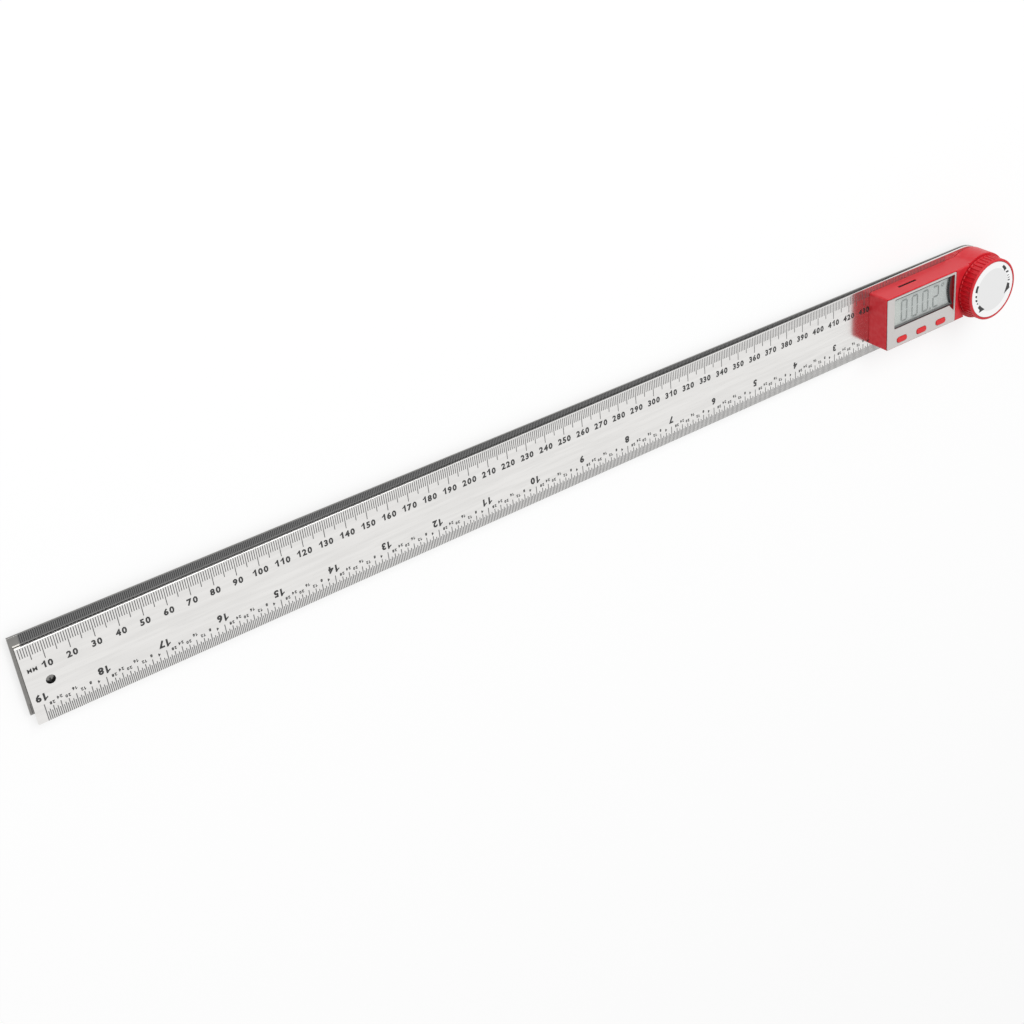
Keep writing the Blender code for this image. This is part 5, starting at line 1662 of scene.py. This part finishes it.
@dataclass
class BackSide:
    """What shows on the tool's back: the rest cap, the battery cover and the four rule screws."""

    screws: tuple[str, ...] = ("rule_screw_1", "rule_screw_2", "rule_screw_3", "rule_screw_4")
    head_height: float = 0.6 * MM
    shank_share: float = 0.556
    recess_width: float = 0.55 * MM
    recess_depth: float = 0.45 * MM

    def build(self) -> None:
        """Makes the cap, the cover and the screws."""
        cap = refined_copy("rear_cap", "rear_cap_moulding", BLACK, 0.15 * MM)
        deliver(cap, "rear_arm", ["rear_cap"])
        cover = refined_copy("battery_cover", "battery_cover_moulding", BLACK, 0.12 * MM)
        deliver(cover, "battery_cover", ["battery_cover"])
        self.build_screws()

    def build_screws(self) -> None:
        """Makes the four screws with the Geometry Nodes tree, on the axes of their solids."""
        places = []
        for node in self.screws:
            low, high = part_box(node)
            places.append(((low.x + high.x) / 2, (low.y + high.y) / 2, low.z))
        radius, length = (high.x - low.x) / 2, high.z - low.z
        mesh = bpy.data.meshes.new("rule_screws")
        mesh.from_pydata(places, [], [])
        obj = show_mesh("rule_screws", mesh)
        values = {
            "Head Radius": radius,
            "Head Height": self.head_height,
            "Shank Radius": radius * self.shank_share,
            "Length": length,
            "Recess Width": self.recess_width,
            "Recess Depth": self.recess_depth,
            "Material": BRIGHT.material(),
        }
        deliver(sharpen(grown(obj, screw_tree(), values)), "head", self.screws)


def dress_hidden_works() -> None:
    """Gives every node that stays its finish."""
    for finish, nodes in CARRIED_OVER.items():
        for name in nodes:
            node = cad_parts[name]
            node.material_slots[0].material = finish.material()
            LOG.info("%s: kept, in %s", name, finish.name)


@dataclass
class Studio:
    """A pale floor, a white surround and a soft lamp beyond the millimetre edge."""

    floor_size: float = 6.0
    floor_level: float = -0.1 * MM
    floor_tone: float = 0.98
    shadow_share: float = 0.32
    fill_strength: float = 0.6
    lamp_place: tuple[float, float, float] = (-0.15, 1.5, 1.9)
    lamp_size: float = 1.5
    lamp_power: float = 34.0
    target: tuple[float, float, float] = (-0.2, 0.0, 0.0)

    def build(self) -> None:
        """Makes the floor, the world and the lamp."""
        self.build_floor()
        self.build_world()
        self.build_lamp()

    def build_floor(self) -> None:
        """Lays a floor that is white where it is lit, and keeps the tool's shadow."""
        bm = bmesh.new()
        bmesh.ops.create_grid(bm, x_segments=8, y_segments=8, size=self.floor_size / 2)
        floor = show_bmesh("floor", bm)
        floor.location.z = self.floor_level
        made = bpy.data.materials.new("floor_paper")
        made.use_nodes = True
        made.node_tree.nodes.clear()
        graph = Graph(made.node_tree)
        paper = graph.add("ShaderNodeBsdfDiffuse", {"Color": (self.floor_tone,) * 3})
        glow = graph.add("ShaderNodeEmission", {"Color": (1.0, 1.0, 1.0), "Strength": 1.0})
        share = graph.math("MULTIPLY", graph.backdrop_rays(), 1.0 - self.shadow_share)
        mixed = graph.add("ShaderNodeMixShader", {0: share, 1: paper.outputs[0], 2: glow.outputs[0]})
        graph.add("ShaderNodeOutputMaterial", {"Surface": mixed.outputs[0]})
        floor.data.materials.append(made)

    def build_world(self) -> None:
        """Makes a surround that is white to the eye and in reflections, and a softer fill light."""
        world = bpy.data.worlds.new("surround")
        bpy.context.scene.world = world
        world.use_nodes = True
        world.node_tree.nodes.clear()
        graph = Graph(world.node_tree)
        inputs = {"Value": graph.backdrop_rays(), "To Min": self.fill_strength, "To Max": 1.0}
        strength = graph.add("ShaderNodeMapRange", inputs).outputs[0]
        back = graph.add("ShaderNodeBackground", {"Color": (1.0, 1.0, 1.0), "Strength": strength})
        graph.add("ShaderNodeOutputWorld", {"Surface": back.outputs[0]})

    def build_lamp(self) -> None:
        """Hangs a soft square lamp that faces the tool."""
        lamp = bpy.data.lights.new("key_lamp", "AREA")
        lamp.shape = "SQUARE"
        lamp.size = self.lamp_size
        lamp.energy = self.lamp_power
        obj = bpy.data.objects.new("key_lamp", lamp)
        bpy.context.scene.collection.objects.link(obj)
        place = Vector(self.lamp_place)
        obj.location = place
        obj.rotation_euler = (Vector(self.target) - place).to_track_quat("-Z", "Y").to_euler()


@dataclass
class PhotoCamera:
    """The camera where the photograph's scale marks place it."""

    place: tuple[float, float, float] = (-0.584185, 0.357812, 0.525749)
    view: tuple[float, float, float] = (0.42727, -0.528687, -0.733437)
    up: tuple[float, float, float] = (0.369485, 0.842485, -0.392046)
    focal_pixels: float = 1613.75
    image_pixels: int = 1024
    sensor: float = 36.0

    def build(self) -> None:
        """Makes the camera and sets it as the scene's."""
        data = bpy.data.cameras.new("photo_camera")
        data.sensor_width = self.sensor
        data.lens = self.focal_pixels * self.sensor / self.image_pixels
        data.clip_start = 0.01
        camera = bpy.data.objects.new("photo_camera", data)
        bpy.context.scene.collection.objects.link(camera)
        back = -Vector(self.view).normalized()
        up = Vector(self.up).normalized()
        right = up.cross(back)
        turn = Matrix((right, up, back)).transposed().to_4x4()
        camera.matrix_world = Matrix.Translation(self.place) @ turn
        bpy.context.scene.camera = camera


def main() -> None:
    """Builds the ruler's looks and the studio round it."""
    logging.basicConfig(level=logging.INFO, format="%(message)s")
    bpy.context.scene.view_settings.view_transform = "Standard"
    plain_steel = SteelFinish("front_steel", (0.785, 0.775, 0.76), 0.17)
    front = SteelRule("front_rule", "head", Edge.UPPER, 485, plain_steel)
    # The front rule's hang hole has its steel wall painted dark as painted shade.
    front.finish = replace(plain_steel, hole=(front.hole_from_tip - front.reach, -HOLE_OFF_CENTRE))
    front.build()
    rear = SteelRule("rear_rule", "rear_arm", Edge.LOWER, 480, plain_steel)
    # The rear rule's darker steel tone and its dark edge bands are painted dark reflection.
    rear.finish = SteelFinish(
        "rear_steel",
        (0.24, 0.235, 0.225),
        0.2,
        turn=rear.turn,
        band_colour=(0.06, 0.06, 0.06),
        band_start=-rear.reach + rear.inch_zero - rear.inches * INCH,
        half_width=rear.half_width,
        face=rear.face,
        # Painted shade on the rear rule's face round its hang hole.
        hole=(rear.hole_from_tip - rear.reach, HOLE_OFF_CENTRE),
        hole_radius=2.6 * MM,
    )
    rear.build()
    builders: tuple[Callable[[], None], ...] = (
        DisplayHead().build,
        LockKnob().build,
        BackSide().build,
        dress_hidden_works,
        Studio().build,
        PhotoCamera().build,
    )
    for build in builders:
        build()


if __name__ == "__main__":
    main()
